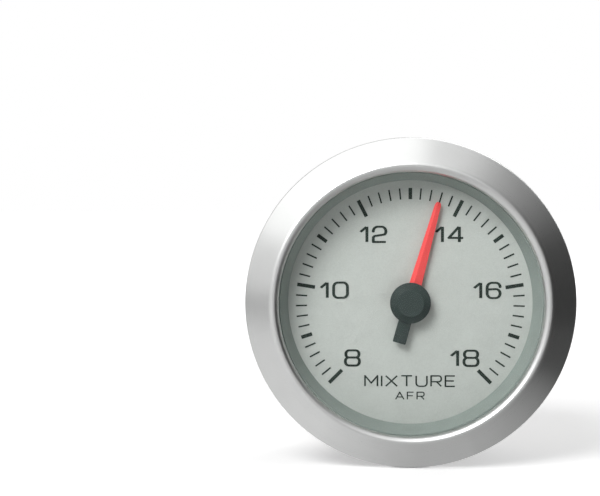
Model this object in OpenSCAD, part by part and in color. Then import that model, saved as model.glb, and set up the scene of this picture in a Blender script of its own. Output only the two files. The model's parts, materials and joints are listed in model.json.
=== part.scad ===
/* [Bezel] */
// Outer diameter of the bezel
bezel_d = 60; // [59.5:0.1:62]
// How far the bezel reaches past the cup on each side
bezel_overhang = 4; // [3.8:0.1:4.4]
// Height of the straight outer edge of the bezel
bezel_edge_h = 1.5; // [1.2:0.1:1.7]
// Rounding from the outer edge of the bezel into its cone
bezel_edge_round = 1; // [0.4:0.1:1.1]
// Bevel of the rear outer edge of the bezel
bezel_rear_bevel = 0.25; // [0.1:0.05:0.4]
// Thickness of the bezel wall around the cup flange
bezel_wall = 1.8; // [1.6:0.1:2]
// Thickness of the edge that is rolled in behind the cup flange
curl_t = 0.8; // [0.6:0.1:1]
// Rounding from the cone of the bezel into its bore
lip_round = 1.1; // [0.8:0.1:1.3]
// Height of the lip above the lens
lip_h = 1.4; // [1.2:0.1:1.6]
// How far the lip covers the edge of the lens
lip_cover = 1.2; // [0.9:0.1:1.4]

/* [Lens and visor] */
// Thickness of the lens
lens_t = 1.5; // [1:0.1:2]
// How far the lens reaches past the bore of the cup
lens_seat = 0.5; // [0.4:0.1:0.8]
// Thickness of the gasket under the lens
gasket_t = 0.4; // [0.3:0.1:0.8]
// Width of the gasket
gasket_w = 0.7; // [0.5:0.1:0.8]
// Thickness of the rim of the visor ring
visor_rim_t = 0.5; // [0.4:0.1:1]
// Depth of the visor ring from the front of the cup to the dial
visor_h = 3.6; // [3:0.1:4.5]
// Width of the visor ring where it meets the dial
visor_w = 2; // [1.4:0.1:2.6]

/* [Dial] */
// Thickness of the dial plate
dial_t = 0.8; // [0.5:0.1:1.2]
// Diameter of the hole in the dial for the pointer shaft
dial_hole_d = 3; // [2.4:0.1:4]
// Distance from the visor ring to the outer ends of the scale marks
mark_margin = 1.35; // [0.8:0.05:2]
// Thickness of the printed scale marks
mark_t = 0.05; // [0.04:0.01:0.1]
// Length of the marks at the even numbers
major_l = 3.3; // [2.5:0.1:4]
// Length of all other marks
minor_l = 2.05; // [1.5:0.05:2.4]
// Width of the marks at whole numbers
major_w = 0.66; // [0.4:0.02:0.9]
// Width of the marks between whole numbers
minor_w = 0.28; // [0.2:0.02:0.4]
// First number of the scale
scale_from = 8; // [6:1:9]
// Last number of the scale
scale_to = 18; // [17:1:20]
// Marks in each whole number
marks_each = 5; // [2:1:5]
// Angle that the scale covers
scale_sweep = 270; // [240:5:270]
// Reading of the pointer at rest
rest_reading = 13.58; // [12:0.01:15]

/* [Pointer] */
// Gap from the dial to the underside of the pointer
pointer_gap = 0.9; // [0.7:0.1:1.2]
// Gap from the end of the pointer to the outer ends of the marks
tip_gap = 1.9; // [1:0.05:2.5]
// Width of the blade at the hub
blade_root_w = 2.5; // [2:0.1:3]
// Width of the blade at its tip
blade_tip_w = 1.1; // [0.8:0.1:1.4]
// Height of the ridge of the blade
blade_h = 0.95; // [0.8:0.05:1.2]
// Height of the blade at the side of its root
blade_side_h = 0.35; // [0.2:0.05:0.5]
// Diameter of the boss of the blade
blade_boss_d = 4.4; // [3.6:0.1:5]
// Diameter of the cap on the hub
cap_d = 7.4; // [6.6:0.1:8]
// Height of the cap on the hub
cap_h = 1.45; // [1:0.05:1.6]
// Chamfer of the cap
cap_chamfer = 1; // [0.5:0.05:1.1]
// Width of the counterweight tail
tail_w = 2.4; // [2:0.1:3]
// Distance from the axis to the end of the tail
tail_l = 7.6; // [6:0.1:8]
// Thickness of the counterweight tail
tail_t = 0.75; // [0.5:0.05:0.8]

/* [Cup] */
// Depth of the cup behind the panel
cup_depth = 30; // [28:0.5:34]
// Wall thickness of the cup
cup_wall = 1.6; // [1.4:0.1:1.8]
// Thickness of the rear wall of the cup
floor_t = 1.6; // [1.2:0.1:2]
// Rounding of the rear edge of the cup
cup_round = 1.5; // [0.8:0.1:2]
// Step of the shoulder that centres the bezel on the cup
shoulder_step = 0.4; // [0.3:0.1:0.6]
// Thickness of the flange that the bezel holds
flange_t = 1.4; // [1.2:0.1:1.6]
// Height of the collar in front of the flange
collar_h = 1; // [0.6:0.1:1.4]
// Width of the ledge that the dial rests on
ledge_w = 1.2; // [0.9:0.1:1.4]
// Height of the ledge that the dial rests on
ledge_h = 2; // [1.5:0.1:2.5]
// Diameter of the pillars that carry the circuit board
pillar_d = 4.8; // [4:0.1:5]
// Thickness of the rib from each pillar to the wall
rib_t = 1.2; // [0.8:0.1:1.6]

/* [Circuit board] */
// Thickness of the light guide
guide_t = 1.8; // [1:0.1:2]
// Length of the legs of the light guide
guide_leg_l = 4.4; // [3.6:0.1:5]
// Diameter of the legs of the light guide
guide_leg_d = 2.6; // [2:0.1:3]
// Thickness of the circuit board
board_t = 1.6; // [1.2:0.1:2]
// Clearance from the circuit board to the ledge of the cup
board_gap = 0.6; // [0.4:0.1:1]
// Distance from the edge of the circuit board to the screws
screw_inset = 3.6; // [3:0.1:4]
// Angle of the board screws above and below the middle
screw_angle = 25; // [23:1:29]
// Diameter of the threads of the board screws
screw_d = 1.7; // [1.4:0.1:2]
// Diameter of the heads of the board screws
screw_head_d = 3.8; // [3:0.1:4]
// Height of the heads of the board screws
screw_head_h = 1.2; // [0.8:0.1:1.6]
// Length of the board screws under the head
screw_l = 7.5; // [6:0.5:10]
// Number of lamps around the dial
lamp_count = 8; // [4:1:10]
// Distance from the edge of the circuit board to the lamps
lamp_inset = 8.6; // [8:0.1:10]
// Length of a lamp along the circuit board
lamp_l = 3; // [2:0.1:3.4]
// Width of a lamp
lamp_w = 1.6; // [1:0.1:2]
// Height of a lamp
lamp_h = 1.2; // [0.6:0.1:1.6]
// Side of the driver chip
chip_w = 5; // [4:0.5:5.5]
// Height of the driver chip
chip_h = 1.5; // [1:0.1:2]
// Diameter of the filter capacitors
can_d = 3.6; // [3:0.1:4]
// Height of the filter capacitors
can_h = 5.4; // [4:0.1:8]

/* [Movement] */
// Size of a gear tooth, as pitch diameter for each tooth
tooth_size = 0.12; // [0.118:0.001:0.122]
// Teeth on both pinions
pinion_teeth = 8; // [8:1:8]
// Teeth on the middle wheel
middle_teeth = 96; // [94:2:96]
// Teeth on the output wheel
output_teeth = 120; // [116:2:120]
// Thickness of the gear wheels
wheel_t = 0.8; // [0.6:0.1:0.9]
// Length of the pinions
pinion_l = 1.3; // [1.2:0.1:1.4]
// Diameter of the thin arbors
arbor_d = 0.6; // [0.4:0.05:0.6]
// Diameter of the shaft that carries the pointer
shaft_d = 1.5; // [1.2:0.1:1.6]
// Diameter of the rear end of the pointer shaft
shaft_tail_d = 1; // [0.8:0.1:1.1]
// Diameter of the rotor magnet
magnet_d = 6; // [5:0.1:6.4]
// Length of the rotor magnet
magnet_l = 3.6; // [3:0.1:3.8]
// Width of the coils
coil_w = 4.2; // [3.8:0.1:4.4]
// Length of the coils
coil_l = 9.2; // [8:0.1:9.6]
// Height of the coils
coil_h = 3.8; // [3:0.1:4]
// Thickness of the yoke
yoke_t = 1; // [0.8:0.1:1.2]
// Wall thickness of the movement case
case_wall = 1; // [0.8:0.1:1.1]
// Rounding of the corners of the movement case
case_round = 1.8; // [1:0.1:2]
// Outer diameter of the bearing nose of the movement
nose_d = 4.8; // [4:0.1:5.2]

/* [Connector] */
// Distance from the bore of the cup to the middle of the connector
socket_inset = 7.6; // [7.2:0.1:8]
// Inner width of the connector socket
socket_w = 8.6; // [8:0.1:9.4]
// Inner height of the connector socket
socket_h = 5; // [4.6:0.1:5.4]
// Wall thickness of the connector socket
socket_wall = 1; // [0.8:0.1:1.2]
// Inner depth of the connector socket
socket_depth = 10; // [9.5:0.1:12]
// Width of the flange of the connector socket
socket_flange_w = 1.2; // [1:0.1:1.4]
// Thickness of the flange of the connector socket
socket_flange_t = 1.6; // [1.2:0.1:2]
// Thickness of a connector pin
pin_w = 0.64; // [0.5:0.02:0.8]
// Distance between connector pins
pin_pitch = 2.5; // [2.3:0.1:2.6]
// Length of the pins inside the connector socket
pin_show = 4.4; // [3.5:0.1:5]

/* [Panel clamp] */
// Distance from the bore of the cup to the middle of each stud
stud_inset = 8.4; // [8:0.1:9]
// Diameter of the studs
stud_d = 4; // [3.5:0.1:4]
// Length of the studs behind the cup
stud_l = 24; // [23:0.5:28]
// Diameter of the heads of the studs
stud_head_d = 6.8; // [6:0.1:7]
// Thickness of the heads of the studs
stud_head_t = 1.6; // [1.2:0.1:2]
// Gap between the bezel and the feet of the clamp at rest
panel_gap = 5; // [4.8:0.1:6]
// Width of the clamp bracket
bracket_w = 14; // [12:0.5:15]
// Thickness of the clamp bracket
bracket_t = 1.5; // [1.2:0.1:1.6]
// Gap between the legs of the bracket and the cup
leg_gap = 1.2; // [1:0.1:1.3]
// Inner radius of the bends of the bracket
bend_r = 2; // [1:0.1:3]
// Gap between the rear of the cup and the bracket at rest
bridge_gap = 5; // [4.5:0.1:6]
// Thickness of the lock washers
washer_t = 0.9; // [0.7:0.1:1.2]
// Outer diameter of the lock washers
washer_d = 7.2; // [6.6:0.1:7.8]
// Angle of the open split in a lock washer
washer_split = 12; // [8:1:20]
// Diameter of the thumb nuts over the knurl
nut_d = 10; // [9:0.1:11]
// Length of the thumb nuts
nut_l = 8; // [7:0.1:8.4]
// Diameter of the plain collar of the thumb nuts
nut_collar_d = 8.4; // [7.8:0.1:8.8]
// Length of the plain collar of the thumb nuts
nut_collar_l = 2; // [1.5:0.1:2.5]
// Depth of the knurl
knurl_depth = 0.25; // [0.1:0.05:0.35]
// Ridges around the knurl
knurl_count = 36; // [24:1:44]

/* [Hidden] */
$fn = 96;

// Clearance of a piece that drops into its seat
seat_gap = 0.2;
// Clearance that parts two stacked flat pieces
stack_gap = 0.1;
// Radial clearance of a turning shaft in its bearing
run_gap = 0.04;
// Radial clearance of a pressed or threaded joint
press_gap = 0.03;
// Radial clearance of the nuts on the studs
thread_gap = 0.06;
// Clearance of a stud in its clearance hole
hole_gap = 0.3;
// Space between the movement and the parts beside it on the board
part_gap = 0.5;
// How far a cutting shape runs past the face that it cuts
overrun = 0.5;

// Radii from the axis outwards
bezel_r = bezel_d / 2;
cup_r = bezel_r - bezel_overhang;
bore_r = cup_r - cup_wall;
lens_r = bore_r + lens_seat;
lens_bore_r = lens_r + seat_gap / 2;
lip_in_r = lens_r - lip_cover;
bezel_in_r = bezel_r - bezel_wall;
flange_r = bezel_in_r - seat_gap;
shoulder_r = cup_r + shoulder_step;
curl_in_r = shoulder_r + seat_gap;
dial_r = bore_r - seat_gap;
dial_show_r = dial_r - visor_w;
ledge_r = bore_r - ledge_w;
guide_r = ledge_r - seat_gap;
board_r = ledge_r - board_gap;
screw_ring_r = board_r - screw_inset;
lamp_ring_r = board_r - lamp_inset;
socket_drop = bore_r - socket_inset;
stud_x = bore_r - stud_inset;

// Heights along the axis, from the panel seat, towards the front
flange_top = curl_t + flange_t;
collar_top = flange_top + collar_h;
visor_top = collar_top + visor_rim_t;
gasket_top = visor_top + gasket_t;
lens_top = gasket_top + lens_t;
bezel_top = lens_top + lip_h;
dial_top = collar_top - visor_h;
ledge_top = dial_top - dial_t;
guide_top = ledge_top - stack_gap;
guide_bottom = guide_top - guide_t;
board_top = guide_bottom - guide_leg_l;
board_bottom = board_top - board_t;
floor_top = floor_t - cup_depth;

// Centres of the two roundings of the bezel, and the direction that its cone faces
edge_centre = [bezel_r - bezel_edge_round, bezel_edge_h];
lip_centre = [lip_in_r + lip_round, bezel_top - lip_round];
cone_line = lip_centre - edge_centre;
cone_facing = atan2(cone_line[1], cone_line[0])
  - acos((bezel_edge_round - lip_round) / norm(cone_line));
cone_normal = [cos(cone_facing), sin(cone_facing)];

// Heights of the pointer
pointer_bottom = dial_top + pointer_gap;
cap_bottom = pointer_bottom + blade_h;
cap_top = cap_bottom + cap_h;
mark_r = dial_show_r - mark_margin;
tip_r = mark_r - tip_gap;

// Angles of the scale, clockwise from the top
scale_mid = (scale_from + scale_to) / 2;
degrees_each = scale_sweep / (scale_to - scale_from);
mark_count = (scale_to - scale_from) * marks_each;
rest_angle = (rest_reading - scale_mid) * degrees_each;

// Gear train: pitch radii, centres and levels
pinion_pitch_r = pinion_teeth * tooth_size / 2;
middle_pitch_r = middle_teeth * tooth_size / 2;
output_pitch_r = output_teeth * tooth_size / 2;
tooth_top = tooth_size * 0.85;
tooth_root = tooth_size * 1.15;
tooth_tip_share = 0.16;
tooth_root_share = 0.46;
middle_angle = 110;
rotor_angle = 20;
middle_x = (output_pitch_r + pinion_pitch_r) * cos(middle_angle);
middle_y = (output_pitch_r + pinion_pitch_r) * sin(middle_angle);
rotor_x = middle_x + (middle_pitch_r + pinion_pitch_r) * cos(rotor_angle);
rotor_y = middle_y + (middle_pitch_r + pinion_pitch_r) * sin(rotor_angle);
level_gap = 0.5;
output_top = board_bottom - case_wall - level_gap;
output_bottom = output_top - wheel_t;
middle_top = output_bottom - level_gap;
middle_bottom = middle_top - wheel_t;
pinion_top = middle_top + stack_gap * 2;
pinion_bottom = pinion_top - pinion_l;
magnet_top = pinion_bottom - level_gap / 2;
magnet_bottom = magnet_top - magnet_l;
case_room = 0.7;
case_bottom_in = magnet_bottom - case_room;
case_bottom = case_bottom_in - case_wall;
case_split = magnet_top - case_room;
bearing_depth = case_wall * 0.6;

// Coils and yoke of the movement
magnet_gap = 0.4;
yoke_ring_w = 1.2;
yoke_arm_w = 1.8;
yoke_ring_in_r = magnet_d / 2 + magnet_gap;
yoke_ring_out_r = yoke_ring_in_r + yoke_ring_w;
coil_mid = magnet_bottom + magnet_l / 2;
coil_x = output_pitch_r - yoke_arm_w * 2 / 3;
yoke_arm_top = middle_y - yoke_ring_w;
coil_mid_y = yoke_arm_top - yoke_arm_w - coil_l / 2 - case_room;
yoke_arm_bottom = coil_mid_y - coil_l / 2 - case_room - yoke_arm_w;

// Outline of the movement case
case_x = max(output_pitch_r + tooth_top, coil_x + coil_w / 2) + case_room + case_wall;
case_low = yoke_arm_bottom - case_room - case_wall;
case_high = rotor_y + yoke_ring_out_r + case_room + case_wall;
peg_d = 1.6;
peg_inset = case_wall * 1.4;

// Connector and clamp
pin_columns = 3;
pin_rows = 2;
pin_above_board = 0.6;
latch_w = 3;
latch_h = 1;
latch_l = 3;
socket_mouth = cup_depth + socket_depth - floor_t;
leg_in_x = cup_r + leg_gap;
bridge_front = -cup_depth - bridge_gap;
bridge_rear = bridge_front - bracket_t;
washer_rear = bridge_rear - washer_t;
nut_rear = washer_rear - nut_l;
stud_point = 0.5;

// Colours of the pieces
satin_silver = [0.78, 0.79, 0.78];
clear_glass = [0.85, 0.92, 0.95, 0.35];
dial_grey = [0.73, 0.75, 0.73];
visor_grey = [0.46, 0.5, 0.48];
ink_grey = [0.18, 0.21, 0.2];
signal_red = [0.95, 0.3, 0.3];
hub_grey = [0.22, 0.25, 0.24];
black_plastic = [0.09, 0.09, 0.1];
white_plastic = [0.92, 0.92, 0.9];
nylon = [0.86, 0.84, 0.78];
board_green = [0.1, 0.35, 0.2];
steel = [0.62, 0.63, 0.65];
zinc = [0.72, 0.73, 0.74];
brass = [0.8, 0.66, 0.35];
copper = [0.72, 0.4, 0.22];
magnet_black = [0.2, 0.2, 0.22];

// Turns a piece that is drawn face up, so that its face looks forward
module face_forward() {
  rotate([90, 0, 0]) children();
}

// A flat ring
module ring(out_r, in_r, bottom, height) {
  translate([0, 0, bottom])
    difference() {
      cylinder(r = out_r, h = height);
      translate([0, 0, -overrun]) cylinder(r = in_r, h = height + 2 * overrun);
    }
}

// A round bar from one height to another
module bar(r, bottom, top) {
  translate([0, 0, bottom]) cylinder(r = r, h = top - bottom);
}

// A rectangle with true round corners
module rounded_rectangle(x_low, y_low, x_high, y_high, r) {
  translate([x_low + r, y_low]) square([x_high - x_low - 2 * r, y_high - y_low]);
  translate([x_low, y_low + r]) square([x_high - x_low, y_high - y_low - 2 * r]);
  for (x = [x_low + r, x_high - r])
    for (y = [y_low + r, y_high - r])
      translate([x, y]) circle(r = r);
}

// Places of the four board screws
module screw_places() {
  for (side = [0, 180])
    for (turn = [-screw_angle, screw_angle])
      rotate([0, 0, side + turn]) translate([screw_ring_r, 0, 0]) children();
}

// Places of the connector pins
module pin_places() {
  for (column = [0 : pin_columns - 1])
    for (row = [0 : pin_rows - 1])
      translate([
        (column - (pin_columns - 1) / 2) * pin_pitch,
        (row - (pin_rows - 1) / 2) * pin_pitch - socket_drop,
        0
      ]) children();
}

// Places of the two studs
module stud_places() {
  for (side = [-1, 1])
    translate([side * stud_x, 0, 0]) children();
}

// Places of the two pegs that hold the movement on the board
module peg_places() {
  translate([peg_inset + peg_d / 2 - case_x, case_high - peg_inset - peg_d / 2, 0]) children();
  translate([case_x - peg_inset - peg_d / 2, case_low + peg_inset + peg_d / 2, 0]) children();
}

// The section of the bezel: a cone between two roundings, with its rear edge rolled inwards
module bezel_section() {
  difference() {
    union() {
      polygon([
        [lip_in_r, 0],
        [bezel_r - bezel_rear_bevel, 0],
        [bezel_r, bezel_rear_bevel],
        [bezel_r, bezel_edge_h],
        edge_centre + bezel_edge_round * cone_normal,
        lip_centre + lip_round * cone_normal,
        [lip_in_r, lip_centre[1]]
      ]);
      translate(edge_centre) circle(r = bezel_edge_round);
      translate(lip_centre) circle(r = lip_round);
    }
    polygon([
      [0, -overrun],
      [curl_in_r, -overrun],
      [curl_in_r, curl_t],
      [bezel_in_r, curl_t],
      [bezel_in_r, flange_top + stack_gap],
      [lens_bore_r, gasket_top + lens_t * 3 / 4],
      [lens_bore_r, lens_top],
      [0, lens_top]
    ]);
  }
}

// The spun bezel, with its lip over the lens and its rear edge rolled in behind the flange
module bezel_ring() {
  color(satin_silver) face_forward() rotate_extrude() bezel_section();
}

// The flat clear lens
module lens() {
  color(clear_glass) face_forward() bar(lens_r, gasket_top, lens_top);
}

// The gasket between the lens and the rim of the visor ring
module lens_gasket() {
  color(black_plastic)
    face_forward()
      ring(lens_r - stack_gap, lens_r - stack_gap - gasket_w, visor_top, gasket_t);
}

// The tapered ring that hides the edge of the dial
module visor_ring() {
  color(visor_grey)
    face_forward()
      rotate_extrude()
        polygon([
          [dial_show_r, dial_top],
          [dial_r, dial_top],
          [dial_r, collar_top],
          [lens_r, collar_top],
          [lens_r, visor_top],
          [lip_in_r - stack_gap, visor_top]
        ]);
}

// The dial plate with the hole for the pointer shaft
module dial_plate() {
  color(dial_grey) face_forward() ring(dial_r, dial_hole_d / 2, ledge_top, dial_t);
}

// The printed marks of the scale, longest at the even numbers
module scale_marks() {
  color(ink_grey)
    face_forward()
      for (i = [0 : mark_count]) {
        whole = i % marks_each == 0;
        even = i % (2 * marks_each) == 0;
        width = whole ? major_w : minor_w;
        length = even ? major_l : minor_l;
        rotate([0, 0, scale_sweep / 2 - i * degrees_each / marks_each])
          translate([-width / 2, mark_r - length, dial_top])
            cube([width, length, mark_t]);
      }
}

// Everything on the pointer is drawn pointing up and turned to the reading
module at_reading() {
  rotate([0, 0, -rest_angle]) children();
}

// The tapered blade with its ridge, and the boss that is pressed on the shaft
module pointer_blade() {
  color(signal_red)
    face_forward()
      at_reading()
        difference() {
          union() {
            bar(blade_boss_d / 2, pointer_bottom, cap_bottom);
            intersection() {
              translate([0, 0, pointer_bottom])
                linear_extrude(height = blade_h)
                  polygon([
                    [-blade_root_w / 2, 0],
                    [blade_root_w / 2, 0],
                    [blade_tip_w / 2, tip_r],
                    [-blade_tip_w / 2, tip_r]
                  ]);
              translate([0, tip_r, pointer_bottom])
                rotate([90, 0, 0])
                  linear_extrude(height = tip_r)
                    polygon([
                      [-blade_root_w / 2, 0],
                      [blade_root_w / 2, 0],
                      [blade_root_w / 2, blade_side_h],
                      [0, blade_h],
                      [-blade_root_w / 2, blade_side_h]
                    ]);
            }
          }
          bar(shaft_d / 2 + press_gap, pointer_bottom - overrun, cap_bottom + overrun);
        }
}

// The dark cap over the hub
module pointer_cap() {
  color(hub_grey)
    face_forward()
      rotate_extrude()
        polygon([
          [0, cap_bottom],
          [cap_d / 2, cap_bottom],
          [cap_d / 2, cap_top - cap_chamfer],
          [cap_d / 2 - cap_chamfer, cap_top],
          [0, cap_top]
        ]);
}

// The dark tail that balances the blade, hung under the cap
module pointer_counterweight() {
  color(hub_grey)
    face_forward()
      at_reading()
        difference() {
          translate([-tail_w / 2, -tail_l, cap_bottom - tail_t])
            cube([tail_w, tail_l, tail_t]);
          bar(blade_boss_d / 2 + stack_gap, cap_bottom - tail_t - overrun, cap_bottom + overrun);
        }
}

// A gear outline with straight-sided teeth, a tooth on the x axis
module gear_outline(teeth) {
  pitch_r = teeth * tooth_size / 2;
  step = 360 / teeth;
  corners = [
    [-tooth_root_share / 2, pitch_r - tooth_root],
    [-tooth_tip_share / 2, pitch_r + tooth_top],
    [tooth_tip_share / 2, pitch_r + tooth_top],
    [tooth_root_share / 2, pitch_r - tooth_root]
  ];
  polygon([
    for (i = [0 : teeth - 1])
      for (c = corners)
        [c[1] * cos((i + c[0]) * step), c[1] * sin((i + c[0]) * step)]
  ]);
}

// A gear with a tooth at the given angle
module gear(teeth, tooth_at, bottom, height) {
  translate([0, 0, bottom])
    rotate([0, 0, tooth_at])
      linear_extrude(height = height) gear_outline(teeth);
}

// The shaft from the rear bearing to the pointer
module pointer_shaft() {
  color(steel)
    face_forward() {
      bar(shaft_tail_d / 2, case_bottom_in - bearing_depth + stack_gap, output_bottom);
      bar(shaft_d / 2, output_bottom, cap_bottom - stack_gap);
    }
}

// The large wheel pressed on the pointer shaft
module output_wheel() {
  color(white_plastic)
    face_forward()
      difference() {
        gear(output_teeth, middle_angle + 180 / output_teeth, output_bottom, wheel_t);
        bar(shaft_d / 2 + press_gap, output_bottom - overrun, output_top + overrun);
      }
}

// The middle wheel with its pinion and arbor
module middle_wheel() {
  color(white_plastic)
    face_forward()
      translate([middle_x, middle_y, 0]) {
        gear(middle_teeth, rotor_angle + 180 / middle_teeth, middle_bottom, wheel_t);
        gear(pinion_teeth, middle_angle + 180, middle_top, output_top + stack_gap - middle_top);
        bar(
          arbor_d / 2,
          case_bottom_in - bearing_depth + stack_gap,
          board_bottom - case_wall + bearing_depth - stack_gap
        );
      }
}

// The pinion and arbor of the rotor
module rotor_pinion() {
  color(steel)
    face_forward()
      translate([rotor_x, rotor_y, 0]) {
        gear(pinion_teeth, rotor_angle + 180, pinion_bottom, pinion_l);
        bar(
          arbor_d / 2,
          case_bottom_in - bearing_depth + stack_gap,
          board_bottom - case_wall + bearing_depth - stack_gap
        );
      }
}

// The round magnet of the rotor
module rotor_magnet() {
  color(magnet_black)
    face_forward()
      translate([rotor_x, rotor_y, 0])
        ring(magnet_d / 2, arbor_d / 2 + press_gap, magnet_bottom, magnet_l);
}

// The outline of the movement case, drawn in by an inset
module case_outline(inset) {
  rounded_rectangle(
    inset - case_x,
    case_low + inset,
    case_x - inset,
    case_high - inset,
    case_round - inset
  );
}

// Blind bearing holes for the two thin arbors
module arbor_bearings(bottom, top) {
  translate([middle_x, middle_y, 0]) bar(arbor_d / 2 + run_gap, bottom, top);
  translate([rotor_x, rotor_y, 0]) bar(arbor_d / 2 + run_gap, bottom, top);
}

// The front half of the movement case, with the bearing nose through the board
module movement_front_case() {
  color(nylon)
    face_forward()
      difference() {
        union() {
          translate([0, 0, case_split])
            linear_extrude(height = board_bottom - case_split) case_outline(0);
          bar(nose_d / 2, board_bottom - case_wall, board_top + stack_gap * 2);
          peg_places() bar(peg_d / 2, board_bottom - case_wall, board_top);
        }
        translate([0, 0, case_split - overrun])
          linear_extrude(height = board_bottom - case_wall - case_split + overrun)
            case_outline(case_wall);
        bar(shaft_d / 2 + run_gap, case_split, board_top + overrun);
        arbor_bearings(case_split, board_bottom - case_wall + bearing_depth);
      }
}

// The rear half of the movement case
module movement_rear_case() {
  color(nylon)
    face_forward()
      difference() {
        translate([0, 0, case_bottom])
          linear_extrude(height = case_split - case_bottom) case_outline(0);
        translate([0, 0, case_bottom_in])
          linear_extrude(height = case_split - case_bottom_in + overrun)
            case_outline(case_wall);
        bar(shaft_tail_d / 2 + run_gap, case_bottom_in - bearing_depth, case_split);
        arbor_bearings(case_bottom_in - bearing_depth, case_split);
      }
}

// The flat iron yoke around the rotor, with an arm through each coil
module stator_yoke() {
  arm_x = coil_x - yoke_arm_w / 2;
  color(steel)
    face_forward()
      translate([0, 0, coil_mid - yoke_t / 2])
        linear_extrude(height = yoke_t)
          difference() {
            union() {
              translate([rotor_x, rotor_y]) circle(r = yoke_ring_out_r);
              for (y = [yoke_arm_top - yoke_arm_w, yoke_arm_bottom])
                translate([-coil_x - yoke_arm_w / 2, y])
                  square([2 * coil_x + yoke_arm_w, yoke_arm_w]);
              for (x = [-arm_x - yoke_arm_w, arm_x])
                translate([x, yoke_arm_bottom])
                  square([yoke_arm_w, yoke_arm_top - yoke_arm_bottom]);
            }
            translate([rotor_x, rotor_y]) circle(r = yoke_ring_in_r);
          }
}

// The two coils on the arms of the yoke, resting on the rear case
module stator_coils() {
  color(copper)
    face_forward()
      for (side = [-1, 1])
        difference() {
          translate([side * coil_x - coil_w / 2, coil_mid_y - coil_l / 2, coil_mid - coil_h / 2])
            cube([coil_w, coil_l, coil_h]);
          translate([
            side * coil_x - yoke_arm_w / 2 - stack_gap,
            coil_mid_y - coil_l / 2 - overrun,
            coil_mid - yoke_t / 2 - stack_gap
          ])
            cube([
              yoke_arm_w + 2 * stack_gap,
              coil_l + 2 * overrun,
              yoke_t + 2 * stack_gap
            ]);
        }
}

// The clear disc behind the dial that spreads the light, on four legs
module light_guide() {
  leg_ring_r = guide_r - guide_leg_d;
  color(white_plastic)
    face_forward() {
      ring(guide_r, dial_hole_d / 2, guide_bottom, guide_t);
      for (angle = [45 : 90 : 315])
        rotate([0, 0, angle])
          translate([leg_ring_r, 0, 0]) bar(guide_leg_d / 2, board_top, guide_bottom + guide_t / 2);
    }
}

// The lamps on the front of the board
module dial_lamps() {
  color(white_plastic)
    face_forward()
      for (i = [0 : lamp_count - 1])
        rotate([0, 0, (i + 1 / 2) * 360 / lamp_count])
          translate([lamp_ring_r - lamp_w / 2, -lamp_l / 2, board_top])
            cube([lamp_w, lamp_l, lamp_h]);
}

// The round board, with holes for the movement, the screws and the pins
module circuit_board() {
  color(board_green)
    face_forward()
      difference() {
        bar(board_r, board_bottom, board_top);
        bar(nose_d / 2 + stack_gap, board_bottom - overrun, board_top + overrun);
        screw_places()
          bar(screw_d / 2 + seat_gap, board_bottom - overrun, board_top + overrun);
        peg_places()
          bar(peg_d / 2 + stack_gap, board_bottom - overrun, board_top + overrun);
        pin_places()
          translate([-pin_w / 2 - stack_gap, -pin_w / 2 - stack_gap, board_bottom - overrun])
            cube([
              pin_w + 2 * stack_gap,
              pin_w + 2 * stack_gap,
              board_t + 2 * overrun
            ]);
      }
}

// The chip that drives the movement, on the rear of the board
module driver_chip() {
  color(black_plastic)
    face_forward()
      translate([-case_x - part_gap - chip_w, -chip_w / 2, board_bottom - chip_h])
        cube([chip_w, chip_w, chip_h]);
}

// The two capacitors on the rear of the board
module filter_capacitors() {
  color(zinc)
    face_forward()
      for (i = [0, 1])
        translate([case_x + part_gap + can_d / 2 + i * (can_d + part_gap), 0, 0])
          bar(can_d / 2, board_bottom - can_h, board_bottom);
}

// The four screws that hold the board on the pillars
module board_screws() {
  slot_w = screw_head_d / 5;
  color(zinc)
    face_forward()
      screw_places()
        difference() {
          union() {
            bar(screw_d / 2, board_top - screw_l, board_top);
            bar(screw_head_d / 2, board_top, board_top + screw_head_h);
          }
          translate([-screw_head_d, -slot_w / 2, board_top + screw_head_h / 2])
            cube([2 * screw_head_d, slot_w, screw_head_h]);
        }
}

// The section of the cup: flange in front, ledge for the dial, rounded rear edge
module cup_section() {
  difference() {
    union() {
      translate([0, -cup_depth]) square([cup_r - cup_round, cup_depth]);
      translate([0, cup_round - cup_depth]) square([cup_r, cup_depth - cup_round]);
      translate([cup_r - cup_round, cup_round - cup_depth]) circle(r = cup_round);
      square([shoulder_r, curl_t]);
      translate([0, curl_t]) square([flange_r, flange_t]);
      translate([0, flange_top]) square([cup_r, collar_h]);
    }
    translate([0, floor_top]) square([bore_r, ledge_top - ledge_h - floor_top]);
    translate([0, floor_top]) square([ledge_r, ledge_top - floor_top]);
    translate([0, ledge_top]) square([bore_r, collar_top - ledge_top + overrun]);
  }
}

// The black cup, with the pillars for the board and the rear openings
module housing_cup() {
  pillar_r = pillar_d / 2;
  rib_drop = rib_t / 2;
  color(black_plastic)
    face_forward()
      difference() {
        union() {
          rotate_extrude() cup_section();
          screw_places() {
            bar(pillar_r, floor_top - floor_t / 2, board_bottom);
            translate([0, -rib_t / 2, floor_top - floor_t / 2])
              cube([
                bore_r + cup_wall / 2 - screw_ring_r,
                rib_t,
                board_bottom - floor_top - rib_drop
              ]);
          }
        }
        screw_places()
          bar(screw_d / 2 + press_gap, board_top - screw_l - overrun, board_bottom + overrun);
        stud_places()
          bar(stud_d / 2 + press_gap, -cup_depth - overrun, floor_top + overrun);
        translate([
          -socket_w / 2 - socket_wall - stack_gap,
          -socket_drop - socket_h / 2 - socket_wall - stack_gap,
          -cup_depth - overrun
        ])
          cube([
            socket_w + 2 * socket_wall + 2 * stack_gap,
            socket_h + 2 * socket_wall + 2 * stack_gap,
            floor_t + 2 * overrun
          ]);
      }
}

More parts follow.
